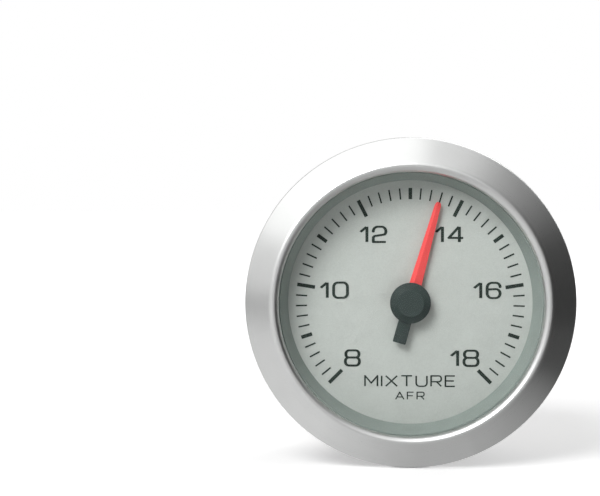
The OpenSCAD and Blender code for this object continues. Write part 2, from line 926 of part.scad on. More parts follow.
// The shroud of the connector, with its inner flange and a latch rib on top
module socket_shell() {
  color(black_plastic)
    face_forward()
      difference() {
        union() {
          translate([
            -socket_w / 2 - socket_wall,
            -socket_drop - socket_h / 2 - socket_wall,
            -socket_mouth
          ])
            cube([
              socket_w + 2 * socket_wall,
              socket_h + 2 * socket_wall,
              socket_mouth + floor_top + socket_flange_t
            ]);
          translate([
            -socket_w / 2 - socket_wall - socket_flange_w,
            -socket_drop - socket_h / 2 - socket_wall - socket_flange_w,
            floor_top
          ])
            cube([
              socket_w + 2 * socket_wall + 2 * socket_flange_w,
              socket_h + 2 * socket_wall + 2 * socket_flange_w,
              socket_flange_t
            ]);
          translate([
            -latch_w / 2,
            socket_h / 2 + socket_wall - socket_drop,
            -socket_mouth + latch_h
          ])
            cube([latch_w, latch_h, latch_l]);
        }
        translate([-socket_w / 2, -socket_drop - socket_h / 2, -socket_mouth - overrun])
          cube([socket_w, socket_h, socket_depth + overrun]);
        pin_places()
          translate([-pin_w / 2, -pin_w / 2, floor_top - overrun])
            cube([pin_w, pin_w, socket_flange_t + 2 * overrun]);
      }
}

// The square pins, from the connector through the board
module socket_pins() {
  pins_rear = floor_top - pin_show;
  color(brass)
    face_forward()
      pin_places()
        translate([-pin_w / 2, -pin_w / 2, pins_rear])
          cube([pin_w, pin_w, board_top + pin_above_board - pins_rear]);
}

// The two studs, with their heads inside the cup
module mounting_studs() {
  color(zinc)
    face_forward()
      stud_places() {
        bar(stud_d / 2, stud_point - cup_depth - stud_l, floor_top);
        bar(stud_head_d / 2, floor_top, floor_top + stud_head_t);
        translate([0, 0, -cup_depth - stud_l])
          cylinder(r1 = stud_d / 2 - stud_point, r2 = stud_d / 2, h = stud_point);
      }
}

// A quarter of a bent strip, with its corner up and to the right
module bend() {
  intersection() {
    difference() {
      circle(r = bend_r + bracket_t);
      circle(r = bend_r);
    }
    square([bend_r + bracket_t, bend_r + bracket_t]);
  }
}

// The bent clamp bracket that slides on the studs and presses on the panel
module clamp_bracket() {
  bend_x = leg_in_x - bend_r;
  bend_z = -bridge_front - bend_r;
  color(zinc)
    difference() {
      translate([0, 0, -bracket_w / 2])
        linear_extrude(height = bracket_w)
          union() {
            translate([-bend_x, -bridge_front]) square([2 * bend_x, bracket_t]);
            for (side = [0, 1])
              mirror([side, 0]) {
                translate([bend_x, bend_z]) bend();
                translate([leg_in_x, panel_gap]) square([bracket_t, bend_z - panel_gap]);
              }
          }
      face_forward()
        stud_places()
          bar(stud_d / 2 + hole_gap, bridge_rear - overrun, bridge_front + overrun);
    }
}

// The split lock washers under the thumb nuts
module lock_washers() {
  color(zinc)
    face_forward()
      stud_places()
        translate([0, 0, washer_rear])
          rotate_extrude(angle = 360 - washer_split)
            translate([stud_d / 2 + seat_gap, 0])
              square([washer_d / 2 - stud_d / 2 - seat_gap, washer_t]);
}

// A thumb nut with a plain collar in front and a knurled grip behind
module thumb_nut(side) {
  step = 180 / knurl_count;
  grip_r = nut_d / 2;
  color(brass)
    face_forward()
      translate([side * stud_x, 0, 0])
        difference() {
          union() {
            bar(nut_collar_d / 2, washer_rear - nut_collar_l, washer_rear);
            translate([0, 0, nut_rear])
              linear_extrude(height = nut_l - nut_collar_l)
                polygon([
                  for (i = [0 : 2 * knurl_count - 1])
                    let (r = i % 2 == 0 ? grip_r : grip_r - knurl_depth)
                      [r * cos(i * step), r * sin(i * step)]
                ]);
          }
          bar(stud_d / 2 + thread_gap, nut_rear - overrun, washer_rear + overrun);
        }
}

// The thumb nut on the left stud, seen from the front
module thumb_nut_left() {
  thumb_nut(-1);
}

// The thumb nut on the right stud, seen from the front
module thumb_nut_right() {
  thumb_nut(1);
}

bezel_ring();
lens();
lens_gasket();
visor_ring();
dial_plate();
scale_marks();
pointer_blade();
pointer_cap();
pointer_counterweight();
pointer_shaft();
output_wheel();
middle_wheel();
rotor_pinion();
rotor_magnet();
movement_front_case();
movement_rear_case();
stator_yoke();
stator_coils();
light_guide();
dial_lamps();
circuit_board();
driver_chip();
filter_capacitors();
board_screws();
housing_cup();
socket_shell();
socket_pins();
mounting_studs();
clamp_bracket();
lock_washers();
thumb_nut_left();
thumb_nut_right();
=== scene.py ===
"""Dresses a 60 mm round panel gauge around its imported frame, and sets the stage for its picture."""

import json
import math

import bmesh
import bpy
from bpy.props import FloatProperty, FloatVectorProperty, IntProperty, PointerProperty
from bpy.types import Operator, Panel, PropertyGroup
from mathutils import Matrix, Vector
from mathutils.geometry import delaunay_2d_cdt


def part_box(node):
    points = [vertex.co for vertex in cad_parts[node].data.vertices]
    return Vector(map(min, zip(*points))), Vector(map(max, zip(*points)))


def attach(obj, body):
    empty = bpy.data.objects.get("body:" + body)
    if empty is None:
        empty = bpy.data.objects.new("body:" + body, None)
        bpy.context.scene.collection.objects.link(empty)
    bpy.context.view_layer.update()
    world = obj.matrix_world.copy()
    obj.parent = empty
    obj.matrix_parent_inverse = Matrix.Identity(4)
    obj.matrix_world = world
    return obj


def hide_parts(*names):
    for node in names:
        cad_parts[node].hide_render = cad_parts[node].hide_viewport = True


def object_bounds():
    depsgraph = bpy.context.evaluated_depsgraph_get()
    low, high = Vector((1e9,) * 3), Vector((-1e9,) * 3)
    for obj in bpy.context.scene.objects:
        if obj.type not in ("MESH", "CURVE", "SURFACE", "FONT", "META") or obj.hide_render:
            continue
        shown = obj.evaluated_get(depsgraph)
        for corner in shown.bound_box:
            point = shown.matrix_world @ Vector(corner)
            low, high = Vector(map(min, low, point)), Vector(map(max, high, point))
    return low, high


bl_info = {
    "name": "Round Panel Gauge",
    "version": (1, 0, 0),
    "blender": (4, 5, 0),
    "location": "3D View > Sidebar > Gauge",
    "description": "Builds the pieces, the finishes and the stage of a 60 mm air fuel ratio gauge",
    "category": "Object",
}

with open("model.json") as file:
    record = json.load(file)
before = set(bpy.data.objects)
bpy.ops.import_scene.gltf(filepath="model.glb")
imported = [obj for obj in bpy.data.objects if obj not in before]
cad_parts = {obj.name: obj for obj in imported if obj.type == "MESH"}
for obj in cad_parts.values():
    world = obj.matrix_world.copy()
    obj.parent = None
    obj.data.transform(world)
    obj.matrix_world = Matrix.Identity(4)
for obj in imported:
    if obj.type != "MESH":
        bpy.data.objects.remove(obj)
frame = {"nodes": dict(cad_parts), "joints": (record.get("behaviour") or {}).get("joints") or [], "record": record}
CAD_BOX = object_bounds()
MM = 0.001
WELD = 1e-7
AXIS_WELD = 1e-6
CREASE = math.radians(32)
STRAIGHT = 1.0  # a ridge pitch so long that ridges run straight
WHITE = (1.0, 1.0, 1.0, 1.0)
BLACK = (0.0, 0.0, 0.0, 1.0)
HOUSING = "housing"
POINTER = "pointer"
CLAMP = "clamp"
PICTURE_W = 600
PICTURE_H = 496


# Places that come from the frame. The gauge looks along -Y, so a front is a low y and a rear a high one.


def front(node):
    """The depth of a node's front."""
    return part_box(node)[0].y


def rear(node):
    """The depth of a node's rear."""
    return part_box(node)[1].y


def reach(node):
    """How far a node reaches from the axis along x."""
    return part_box(node)[1].x


def joint_range(name):
    """The limits of a hinge in radians."""
    joint = next(j for j in frame["joints"] if j["name"] == name)
    return [math.radians(angle) for angle in joint["range_deg"]]


LEAST_TURN, MOST_TURN = joint_range("pointer_turn")
SCALE_SWEEP = MOST_TURN - LEAST_TURN
REST_ANGLE = -LEAST_TURN - SCALE_SWEEP / 2


# Sizes and colours that a user may change


def length(name, description, millimetres):
    """A length of a piece."""
    return FloatProperty(
        name=name, description=description, default=millimetres * MM, unit="LENGTH", precision=5
    )


def rotation(name, description, degrees):
    """A turn or an opening."""
    return FloatProperty(
        name=name, description=description, default=math.radians(degrees), unit="ROTATION"
    )


def amount(name, description, value, unit="NONE"):
    """A plain number, or one in a unit."""
    return FloatProperty(name=name, description=description, default=value, unit=unit)


def tally(name, description, value, least=1):
    """A number of like things."""
    return IntProperty(name=name, description=description, default=value, min=least)


def lamp_place(name, description, millimetres):
    """Where a lamp stands."""
    return FloatVectorProperty(
        name=name, description=description, default=[part * MM for part in millimetres],
        subtype="TRANSLATION", unit="LENGTH",
    )


def tone(name, description, value):
    """A colour of a finish."""
    return FloatVectorProperty(
        name=name, description=description, default=value, subtype="COLOR", min=0.0, max=1.0
    )


class BezelSizes(PropertyGroup):
    """Sizes of the bezel ring"""

    edge_h: length("Edge height", "Height of the straight outer edge", 1.5)
    edge_round: length("Edge rounding", "Rounding from the outer edge into the cone", 1.0)
    lip_round: length("Lip rounding", "Rounding from the cone into the bore", 1.1)
    bore_r: length("Bore radius", "Radius of the bore of the lip", 23.7)
    wall: length("Wall", "Thickness of the wall around the flange", 1.8)
    curl_r: length("Curl radius", "Inner radius of the edge rolled in behind the flange", 26.6)
    curl_t: length("Curl thickness", "Thickness of the rolled edge", 0.8)
    flange_y: length("Flange depth", "Depth where the wall thickens in front of the flange", -2.3)
    lens_bore_r: length("Lens bore radius", "Radius of the bore around the lens", 25.0)
    small_round: length("Small rounding", "Rounding of the rear edges", 0.2)
    steps: tally("Steps", "Faces around the ring", 288, 24)


class VisorSizes(PropertyGroup):
    """Sizes of the visor ring and the gasket"""

    foot_r: length("Foot radius", "Radius where the ring meets the dial", 22.2)
    skirt_r: length("Skirt radius", "Outer radius of the skirt in the cup", 24.2)
    rim_t: length("Rim thickness", "Thickness of the rim on the cup", 0.5)
    top_r: length("Top radius", "Inner radius at the rim", 23.6)
    edge_round: length("Edge rounding", "Rounding of the edges of the ring", 0.12)
    gasket_w: length("Gasket width", "Width of the gasket", 0.7)
    steps: tally("Steps", "Faces around the ring", 256, 24)


class LensSizes(PropertyGroup):
    """Sizes of the lens"""

    bevel: length("Edge bevel", "Bevel around both faces of the lens", 0.15)
    steps: tally("Steps", "Faces around the lens", 192, 24)


class DialSizes(PropertyGroup):
    """Sizes of the dial and its printed scale"""

    mark_r: length("Mark radius", "Distance from the axis to the outer ends of the marks", 20.85)
    mark_t: length("Print thickness", "Thickness of the printed marks", 0.05)
    major_l: length("Major length", "Length of the marks at even numbers", 3.3)
    minor_l: length("Minor length", "Length of all other marks", 2.05)
    major_w: length("Major width", "Width of the marks at whole numbers", 0.66)
    minor_w: length("Minor width", "Width of the marks between whole numbers", 0.28)
    hole_r: length("Hole radius", "Radius of the hole for the pointer shaft", 1.5)
    edge_bevel: length("Edge bevel", "Bevel around the plate", 0.08)
    numbers: tally("Numbers", "Whole numbers that the scale covers", 10)
    marks_each: tally("Marks each", "Marks in each whole number", 5)
    text_h: length("Numeral height", "Height of the numerals", 3.16)
    text_v: length("Numeral stem", "Width of the upright strokes of the numerals", 0.54)
    text_b: length("Numeral bar", "Width of the level strokes of the numerals", 0.38)
    text_gap: length("Numeral gap", "Gap between two numerals", 0.62)
    legend_h: length("Legend height", "Height of the upper legend", 2.15)
    legend_gap: length("Legend gap", "Gap between the letters of the upper legend", 0.46)
    legend_z: length("Legend place", "Height of the middle of the upper legend", -14.4)
    note_h: length("Note height", "Height of the lower legend", 1.5)
    note_gap: length("Note gap", "Gap between the letters of the lower legend", 0.42)
    note_z: length("Note place", "Height of the middle of the lower legend", -17.1)
    legend_stroke: length("Legend stroke", "Width of the strokes of the upper legend", 0.3)
    note_stroke: length("Note stroke", "Width of the strokes of the lower legend", 0.22)


class PointerSizes(PropertyGroup):
    """Sizes of the pointer"""

    tip_r: length("Tip radius", "Distance from the axis to the tip", 18.95)
    root_w: length("Root width", "Width of the blade at the hub", 2.5)
    tip_w: length("Tip width", "Width of the blade at its tip", 1.1)
    blade_h: length("Blade height", "Height of the ridge at the hub", 0.95)
    tip_h: length("Tip height", "Height of the ridge at the tip", 0.6)
    side_h: length("Side height", "Height of the sides of the blade", 0.3)
    boss_r: length("Boss radius", "Radius of the boss of the blade", 2.2)
    shaft_r: length("Shaft bore", "Radius of the bore for the shaft", 0.78)
    cap_flank: length("Cap flank", "Width of the sloping flank of the cap", 1.3)
    cap_skirt: length("Cap skirt", "Height of the straight side of the cap", 0.45)
    cap_round: length("Cap rounding", "Rounding of the edges of the cap", 0.16)
    dimple_r: length("Dimple radius", "Radius of the gate mark in the middle of the cap", 0.3)
    tail_w: length("Tail width", "Width of the counterweight", 2.4)
    tail_l: length("Tail length", "Distance from the axis to the end of the counterweight", 7.6)
    tail_round: length("Tail rounding", "Rounding of the edges of the counterweight", 0.14)


class FasteningSizes(PropertyGroup):
    """Sizes of the studs, bracket, washers, nuts and connector pins"""

    stud_r: length("Stud radius", "Outer radius of the thread", 2.0)
    thread_pitch: length("Thread pitch", "Pitch of the stud thread", 0.7)
    thread_depth: length("Thread depth", "Depth of the stud thread", 0.38)
    thread_y: length("Thread start", "Depth where the thread starts", 30)
    head_r: length("Head radius", "Radius of the stud head in the cup", 3.4)
    head_t: length("Head thickness", "Thickness of the stud head", 1.6)
    tip_round: length("Tip chamfer", "Chamfer at the end of a stud", 0.5)
    nut_bore_r: length("Nut bore", "Radius of the bore of a nut", 2.06)
    collar_r: length("Collar radius", "Radius of the plain collar of a nut", 4.2)
    collar_t: length("Collar thickness", "Length of the plain collar of a nut", 2.0)
    knurl_depth: length("Knurl depth", "Depth of the grooves of the knurl", 0.25)
    knurl_round: length("Knurl rounding", "Rounding at both ends of the knurl", 0.45)
    ridges: tally("Ridges", "Ridges of the knurl of a nut", 36)
    washer_bore_r: length("Washer bore", "Radius of the bore of a washer", 2.2)
    washer_round: length("Washer rounding", "Rounding of the edges of a washer", 0.15)
    split: rotation("Split", "Gap of a washer", 12)
    bracket_t: length("Bracket thickness", "Thickness of the strip of the bracket", 1.5)
    bend_r: length("Bend radius", "Inner radius of both bends of the bracket", 2.0)
    bracket_round: length("Bracket rounding", "Rounding of the edges of the bracket", 0.22)
    bracket_hole_r: length("Bracket hole", "Radius of the holes for the studs", 2.3)
    pin_w: length("Pin width", "Width of a connector pin", 0.64)
    pin_pitch: length("Pin pitch", "Distance between two pins", 2.5)
    pin_bevel: length("Pin bevel", "Bevel of the edges and the tip of a pin", 0.14)


class StageSizes(PropertyGroup):
    """Camera, floor and lamps"""

    lens_mm: amount("Lens", "Focal length of the camera", 100.0)
    azimuth: rotation("Azimuth", "Turn of the camera to the right", -2)
    elevation: rotation("Elevation", "Rise of the camera", 4)
    centre_x_px: amount("Centre x", "Place of the bezel in the picture", 410.4)
    centre_y_px: amount("Centre y", "Place of the bezel in the picture", 303.0)
    bezel_px: amount("Bezel size", "Width of the bezel in the picture", 330.0)
    floor_size: length("Floor size", "Side of the floor", 6000)
    softbox_size: length("Softbox size", "Side of the softbox at the upper left", 260)
    softbox_place: lamp_place("Softbox place", "Where the softbox stands", (-193, -347, 303))
    softbox_power: amount("Softbox power", "Power of the softbox", 2.15, "POWER")
    rear_size: length("Rear lamp size", "Side of the lamp behind the gauge", 600)
    rear_place: lamp_place("Rear lamp place", "Where the rear lamp stands", (350, 500, 420))
    rear_power: amount("Rear power", "Power of the rear lamp", 2.6, "POWER")
    ambient: amount("Ambient", "Strength of the world as a light", 0.14)


class FinishColours(PropertyGroup):
    """Colours of the finishes"""

    bezel: tone("Bezel", "Satin metal of the bezel", (0.60, 0.605, 0.60))
    lens: tone("Lens", "Clear lens", (0.98, 1.0, 0.99))
    visor: tone("Visor", "Grey plastic of the visor ring", (0.29, 0.325, 0.307))
    dial: tone("Dial", "Silver grey paint of the dial", (0.53, 0.545, 0.525))
    ink: tone("Ink", "Dark print on the dial", (0.03, 0.04, 0.035))
    pointer: tone("Pointer", "Red plastic of the pointer", (0.98, 0.1, 0.1))
    hub: tone("Hub", "Dark plastic of the cap and counterweight", (0.032, 0.045, 0.043))
    black: tone("Black", "Black plastic of the cup and connector", (0.028, 0.028, 0.03))
    rubber: tone("Rubber", "Black rubber of the gasket", (0.05, 0.05, 0.05))
    steel: tone("Steel", "Ground steel of shafts and yoke", (0.60, 0.61, 0.62))
    zinc: tone("Zinc", "Zinc plate of the clamp and studs", (0.50, 0.51, 0.52))
    brass: tone("Brass", "Turned brass of the thumb nuts", (0.78, 0.60, 0.30))
    gold: tone("Pin plating", "Plated brass of the connector pins", (0.80, 0.66, 0.35))
    copper: tone("Copper", "Varnished wire of the coils", (0.72, 0.36, 0.18))
    white: tone("White plastic", "Wheels and light guide", (0.88, 0.88, 0.85))
    nylon: tone("Nylon", "Natural nylon of the movement case", (0.80, 0.78, 0.70))
    board: tone("Board", "Solder mask of the circuit board", (0.05, 0.25, 0.12))
    can: tone("Can", "Drawn aluminium of the capacitors", (0.75, 0.75, 0.76))
    magnet: tone("Magnet", "Sintered magnet", (0.10, 0.10, 0.11))


SIZE_GROUPS = {
    "gauge_bezel": BezelSizes,
    "gauge_visor": VisorSizes,
    "gauge_lens": LensSizes,
    "gauge_dial": DialSizes,
    "gauge_pointer": PointerSizes,
    "gauge_fastening": FasteningSizes,
    "gauge_stage": StageSizes,
    "gauge_colours": FinishColours,
}


# Node trees


class Nodes:
    """A node tree with short calls for its nodes and links."""

    def __init__(self, tree):
        self.tree = tree

    def feed(self, socket, value):
        """Links an output to a socket, or sets the socket's own value."""
        if isinstance(value, bpy.types.NodeSocket):
            self.tree.links.new(value, socket)
        else:
            socket.default_value = value

    def fill(self, node, values):
        """Sets or links a node's inputs by their names or numbers."""
        for socket, value in values.items():
            self.feed(node.inputs[socket], value)
        return node

    def add(self, kind, values=None, **settings):
        """A new node with its settings, and values or links by the name or number of a socket."""
        node = self.tree.nodes.new(kind)
        for name, value in settings.items():
            setattr(node, name, value)
        return self.fill(node, values or {})

    def math(self, operation, *values):
        """The result of a sum."""
        return self.add("ShaderNodeMath", dict(enumerate(values)), operation=operation).outputs[0]

    def vector(self, x=0.0, y=0.0, z=0.0):
        """Three numbers joined into a vector."""
        return self.add("ShaderNodeCombineXYZ", {0: x, 1: y, 2: z}).outputs[0]


def geometry_tree(name, inputs):
    """A new tree of geometry nodes with named inputs: its nodes, its given values and its result."""
    tree = bpy.data.node_groups.new(name, "GeometryNodeTree")
    tree.interface.new_socket("Geometry", in_out="INPUT", socket_type="NodeSocketGeometry")
    for label, kind, default in inputs:
        socket = tree.interface.new_socket(label, in_out="INPUT", socket_type="NodeSocket" + kind)
        if default is not None:
            socket.default_value = default
    tree.interface.new_socket("Geometry", in_out="OUTPUT", socket_type="NodeSocketGeometry")
    nodes = Nodes(tree)
    given = nodes.add("NodeGroupInput").outputs
    result = nodes.add("NodeGroupOutput").inputs[0]
    return nodes, given, result


def end_tree(nodes, geometry, given, result):
    """Ends a tree with real geometry in its material."""
    real = nodes.add("GeometryNodeRealizeInstances", {0: geometry})
    dressed = nodes.add("GeometryNodeSetMaterial", {0: real.outputs[0], "Material": given["Material"]})
    nodes.feed(result, dressed.outputs[0])


def turned_tree():
    """Turns a section about the axis: its x is the radius, its y the depth.

    What lies outside the ridge radius and behind the ridge start is grooved: straight ridges make a knurl,
    and ridges with a pitch wind round it as a thread.
    """
    name = "Turned piece"
    if name in bpy.data.node_groups:
        return bpy.data.node_groups[name]
    nodes, given, result = geometry_tree(name, [
        ("Steps", "Int", 192),
        ("Guide Radius", "Float", 10 * MM),
        ("Ridges", "Int", 0),
        ("Ridge Pitch", "Float", 0.0),
        ("Ridge Depth", "Float", 0.0),
        ("Ridge Radius", "Float", 1.0),
        ("Ridge Start", "Float", -1.0),
        ("Place", "Vector", (0.0, 0.0, 0.0)),
        ("Material", "Material", None),
    ])
    guide = given["Guide Radius"]
    inward = nodes.vector(nodes.math("MULTIPLY", guide, -1.0))
    section = nodes.add("GeometryNodeMeshToCurve", {0: given["Geometry"]})
    profile = nodes.add("GeometryNodeTransform", {0: section.outputs[0], "Translation": inward})
    circle = nodes.add("GeometryNodeCurvePrimitiveCircle", {"Resolution": given["Steps"], "Radius": guide})
    swept = nodes.add("GeometryNodeCurveToMesh", {0: circle.outputs[0], 1: profile.outputs[0]})
    upright = nodes.add("GeometryNodeTransform", {0: swept.outputs[0], "Rotation": (math.pi / 2, 0, 0)})
    welded = nodes.add("GeometryNodeMergeByDistance", {0: upright.outputs[0], "Distance": AXIS_WELD})
    at = nodes.add("ShaderNodeSeparateXYZ", {0: nodes.add("GeometryNodeInputPosition").outputs[0]}).outputs
    squares = nodes.math("ADD", nodes.math("MULTIPLY", at[0], at[0]), nodes.math("MULTIPLY", at[2], at[2]))
    radius = nodes.math("SQRT", squares)
    turn = nodes.math("DIVIDE", nodes.math("ARCTAN2", at[2], at[0]), math.tau)
    along = nodes.math("DIVIDE", at[1], given["Ridge Pitch"])
    wave = nodes.math("FRACT", nodes.math("MULTIPLY_ADD", turn, given["Ridges"], along))
    fold = nodes.math("ABSOLUTE", nodes.math("MULTIPLY_ADD", wave, 2.0, -1.0))
    groove = nodes.math("MULTIPLY", fold, given["Ridge Depth"])
    share = nodes.math("SUBTRACT", 1.0, nodes.math("DIVIDE", groove, radius))
    moved = nodes.vector(nodes.math("MULTIPLY", at[0], share), at[1], nodes.math("MULTIPLY", at[2], share))
    behind = nodes.math("GREATER_THAN", at[1], given["Ridge Start"])
    outside = nodes.math("MULTIPLY", nodes.math("GREATER_THAN", radius, given["Ridge Radius"]), behind)
    ridged = nodes.add(
        "GeometryNodeSetPosition", {0: welded.outputs[0], "Selection": outside, "Position": moved}
    )
    placed = nodes.add("GeometryNodeTransform", {0: ridged.outputs[0], "Translation": given["Place"]})
    end_tree(nodes, placed.outputs[0], given, result)
    return nodes.tree


def marks_tree():
    """Sets the marks of a scale along an arc, longer and wider at the whole numbers."""
    name = "Scale marks"
    if name in bpy.data.node_groups:
        return bpy.data.node_groups[name]
    nodes, given, result = geometry_tree(name, [
        ("Numbers", "Int", 10),
        ("Marks Each", "Int", 5),
        ("Sweep", "Float", math.radians(270)),
        ("Radius", "Float", 20 * MM),
        ("Depth", "Float", 0.0),
        ("Thickness", "Float", 0.05 * MM),
        ("Major Length", "Float", 3 * MM),
        ("Minor Length", "Float", 2 * MM),
        ("Major Width", "Float", 0.6 * MM),
        ("Minor Width", "Float", 0.3 * MM),
        ("Material", "Material", None),
    ])
    gaps = nodes.math("MULTIPLY", given["Numbers"], given["Marks Each"])
    points = nodes.add("GeometryNodePoints", {"Count": nodes.math("ADD", gaps, 1.0)})
    number = nodes.add("GeometryNodeInputIndex").outputs[0]
    tolerance = 0.1
    share = nodes.math("DIVIDE", number, gaps)
    angle = nodes.math("MULTIPLY", nodes.math("SUBTRACT", share, 0.5), given["Sweep"])

    def every(step):
        return nodes.math("COMPARE", nodes.math("MODULO", number, step), 0.0, tolerance)

    def choose(test, yes, no):
        picked = nodes.add("GeometryNodeSwitch", {0: test, 1: no, 2: yes}, input_type="FLOAT")
        return picked.outputs[0]

    whole = every(given["Marks Each"])
    even = every(nodes.math("MULTIPLY", given["Marks Each"], 2.0))
    tall = choose(even, given["Major Length"], given["Minor Length"])
    wide = choose(whole, given["Major Width"], given["Minor Width"])
    middle = nodes.math("SUBTRACT", given["Radius"], nodes.math("DIVIDE", tall, 2.0))
    place = nodes.vector(
        nodes.math("MULTIPLY", nodes.math("SINE", angle), middle),
        given["Depth"],
        nodes.math("MULTIPLY", nodes.math("COSINE", angle), middle),
    )
    spread = nodes.add("GeometryNodeSetPosition", {0: points.outputs[0], "Position": place})
    bar = nodes.add("GeometryNodeMeshCube", {"Size": (1.0, 1.0, 1.0)})
    marks = nodes.add("GeometryNodeInstanceOnPoints", {
        0: spread.outputs[0],
        "Instance": bar.outputs[0],
        "Rotation": nodes.vector(0.0, angle, 0.0),
        "Scale": nodes.vector(wide, given["Thickness"], tall),
    })
    end_tree(nodes, marks.outputs[0], given, result)
    return nodes.tree


# Making pieces


def link(name, data):
    """A new object in the scene."""
    piece = bpy.data.objects.new(name, data)
    bpy.context.scene.collection.objects.link(piece)
    return piece


def baked(piece):
    """Turns a piece into the plain mesh that its modifiers or its curve make, and clears its modifiers."""
    bpy.context.view_layer.update()
    seen = piece.evaluated_get(bpy.context.evaluated_depsgraph_get())
    mesh = bpy.data.meshes.new_from_object(seen)
    if piece.type == "MESH":
        piece.modifiers.clear()
        piece.data = mesh
        return piece
    name = piece.name
    bpy.data.objects.remove(piece)
    return link(name, mesh)


def smooth(piece):
    """Welds a piece's mesh, turns its faces outwards and shades it smooth up to its creases."""
    mesh = piece.data
    shape = bmesh.new()
    shape.from_mesh(mesh)
    bmesh.ops.remove_doubles(shape, verts=shape.verts, dist=WELD)
    bmesh.ops.recalc_face_normals(shape, faces=shape.faces)
    shape.to_mesh(mesh)
    shape.free()
    mesh.shade_smooth()
    mesh.set_sharp_from_angle(angle=CREASE)
    return piece


def mesh_of(name, points, edges, faces):
    """A mesh of points, edges and faces."""
    mesh = bpy.data.meshes.new(name)
    mesh.from_pydata(points, edges, faces)
    return mesh


def modelled(name, shape):
    """The smooth piece that a bmesh holds."""
    mesh = bpy.data.meshes.new(name)
    shape.to_mesh(mesh)
    shape.free()
    return smooth(link(name, mesh))


def sheet(name, corners):
    """A piece of one face between four corners."""
    return link(name, mesh_of(name, corners, [], [(0, 1, 2, 3)]))


def wire(name, points, closed):
    """A mesh of edges along an outline."""
    count = len(points)
    edges = [(i, (i + 1) % count) for i in range(count if closed else count - 1)]
    return mesh_of(name, [(p[0], p[1], 0.0) for p in points], edges, [])


def grow(name, mesh, tree, values):
    """The piece that a node tree makes from a base mesh, as a plain mesh."""
    piece = link(name, mesh)
    modifier = piece.modifiers.new(tree.name, "NODES")
    modifier.node_group = tree
    for item in tree.interface.items_tree:
        if item.in_out == "INPUT" and item.name in values:
            modifier[item.identifier] = values[item.name]
    return smooth(baked(piece))


def turned(name, slot, points, closed=True, steps=64, **values):
    """A piece turned about the axis, or about a place beside it."""
    given = {"Steps": steps, "Material": finish(slot)}
    for key, value in values.items():
        given[key.replace("_", " ").title()] = value
    return grow(name, wire(name, points, closed), turned_tree(), given)


def rounded(corners, closed=True, steps=5, hold=0.05 * MM):
    """Points along an outline whose corners (x, y, radius) are rounded.

    A point is held close to each end of a rounding, so that the flat stretches shade flat.
    """
    count = len(corners)
    places = [Vector(corner[:2]) for corner in corners]
    ways = [(places[i - 1] - here, places[(i + 1) % count] - here) for i, here in enumerate(places)]
    cuts = []
    for i, (back, on) in enumerate(ways):
        radius = corners[i][2]
        end = not closed and i in (0, count - 1)
        cuts.append(0.0 if end or not radius else radius / math.tan(back.angle(on) / 2))
    points = []
    for i, (here, cut, (back, on)) in enumerate(zip(places, cuts, ways)):
        if not cut:
            points.append(here)
            continue
        radius = corners[i][2]
        room_back = back.length - cut - cuts[i - 1]
        room_on = on.length - cut - cuts[(i + 1) % count]
        back.normalize()
        on.normalize()
        centre = here + (back + on).normalized() * math.hypot(radius, cut)
        start = here + back * cut
        end = here + on * cut
        if room_back > 3 * hold:
            points.append(start + back * hold)
        angle = math.atan2(start.y - centre.y, start.x - centre.x)
        sweep = math.atan2(end.y - centre.y, end.x - centre.x) - angle
        sweep = (sweep + math.pi) % math.tau - math.pi
        for k in range(steps + 1):
            turn = angle + sweep * k / steps
            points.append(centre + radius * Vector((math.cos(turn), math.sin(turn))))
        if room_on > 3 * hold:
            points.append(end + on * hold)
    return points


def ring_section(inner, outer, start_y, stop_y, outer_round, inner_round=0.0, steps=5):
    """The section of a plain ring with rounded edges."""
    return rounded([
        (inner, start_y, inner_round),
        (outer, start_y, outer_round),
        (outer, stop_y, outer_round),
        (inner, stop_y, inner_round),
    ], steps=steps)


def lofted(name, rings):
    """A closed piece through rings of as many points each."""
    count = len(rings[0])
    faces = [tuple(range(count)), tuple(range((len(rings) - 1) * count, len(rings) * count))]
    for ring in range(len(rings) - 1):
        for i in range(count):
            a = ring * count + i
            b = ring * count + (i + 1) % count
            faces.append((a, b, b + count, a + count))
    points = [tuple(point) for ring in rings for point in ring]
    return smooth(link(name, mesh_of(name, points, [], faces)))


def block(name, low, high, bevel, segments=3):
    """A block between two corners, with rounded edges."""
    shape = bmesh.new()
    bmesh.ops.create_cube(shape, size=1)
    for vertex in shape.verts:
        vertex.co = Vector(h if c > 0 else l for c, l, h in zip(vertex.co, low, high))
    bmesh.ops.bevel(
        shape, geom=shape.edges[:], offset=bevel, segments=segments, profile=0.5, affect="EDGES"
    )
    return modelled(name, shape)


def plate(name, outlines, low_y, high_y, bevel):
    """A flat piece between two depths, cut from outlines of (x, z) points. Inner outlines are holes."""
    curve = bpy.data.curves.new(name, "CURVE")
    curve.dimensions = "2D"
    curve.fill_mode = "BOTH"
    curve.extrude = (high_y - low_y) / 2 - bevel
    curve.bevel_depth = bevel
    curve.offset = -bevel
    for outline in outlines:
        spline = curve.splines.new("POLY")
        spline.points.add(len(outline) - 1)
        spline.use_cyclic_u = True
        for point, place in zip(spline.points, outline):
            point.co = (place[0], place[1], 0.0, 1.0)
    piece = baked(link(name, curve))
    turn = Matrix.Translation((0.0, (low_y + high_y) / 2, 0.0)) @ Matrix.Rotation(math.pi / 2, 4, "X")
    piece.data.transform(turn)
    return smooth(piece)


def combine(piece, tool, operation="DIFFERENCE"):
    """Cuts a tool out of a piece, or joins it on, and deletes the tool."""
    modifier = piece.modifiers.new(operation, "BOOLEAN")
    modifier.operation = operation
    modifier.solver = "EXACT"
    modifier.object = tool
    baked(piece)
    bpy.data.objects.remove(tool)
    return smooth(piece)


def joined(pieces):
    """Puts like pieces that don't touch into one mesh."""
    shape = bmesh.new()
    for piece in pieces:
        shape.from_mesh(piece.data)
    for piece in pieces[1:]:
        bpy.data.objects.remove(piece)
    shape.to_mesh(pieces[0].data)
    shape.free()
    return smooth(pieces[0])


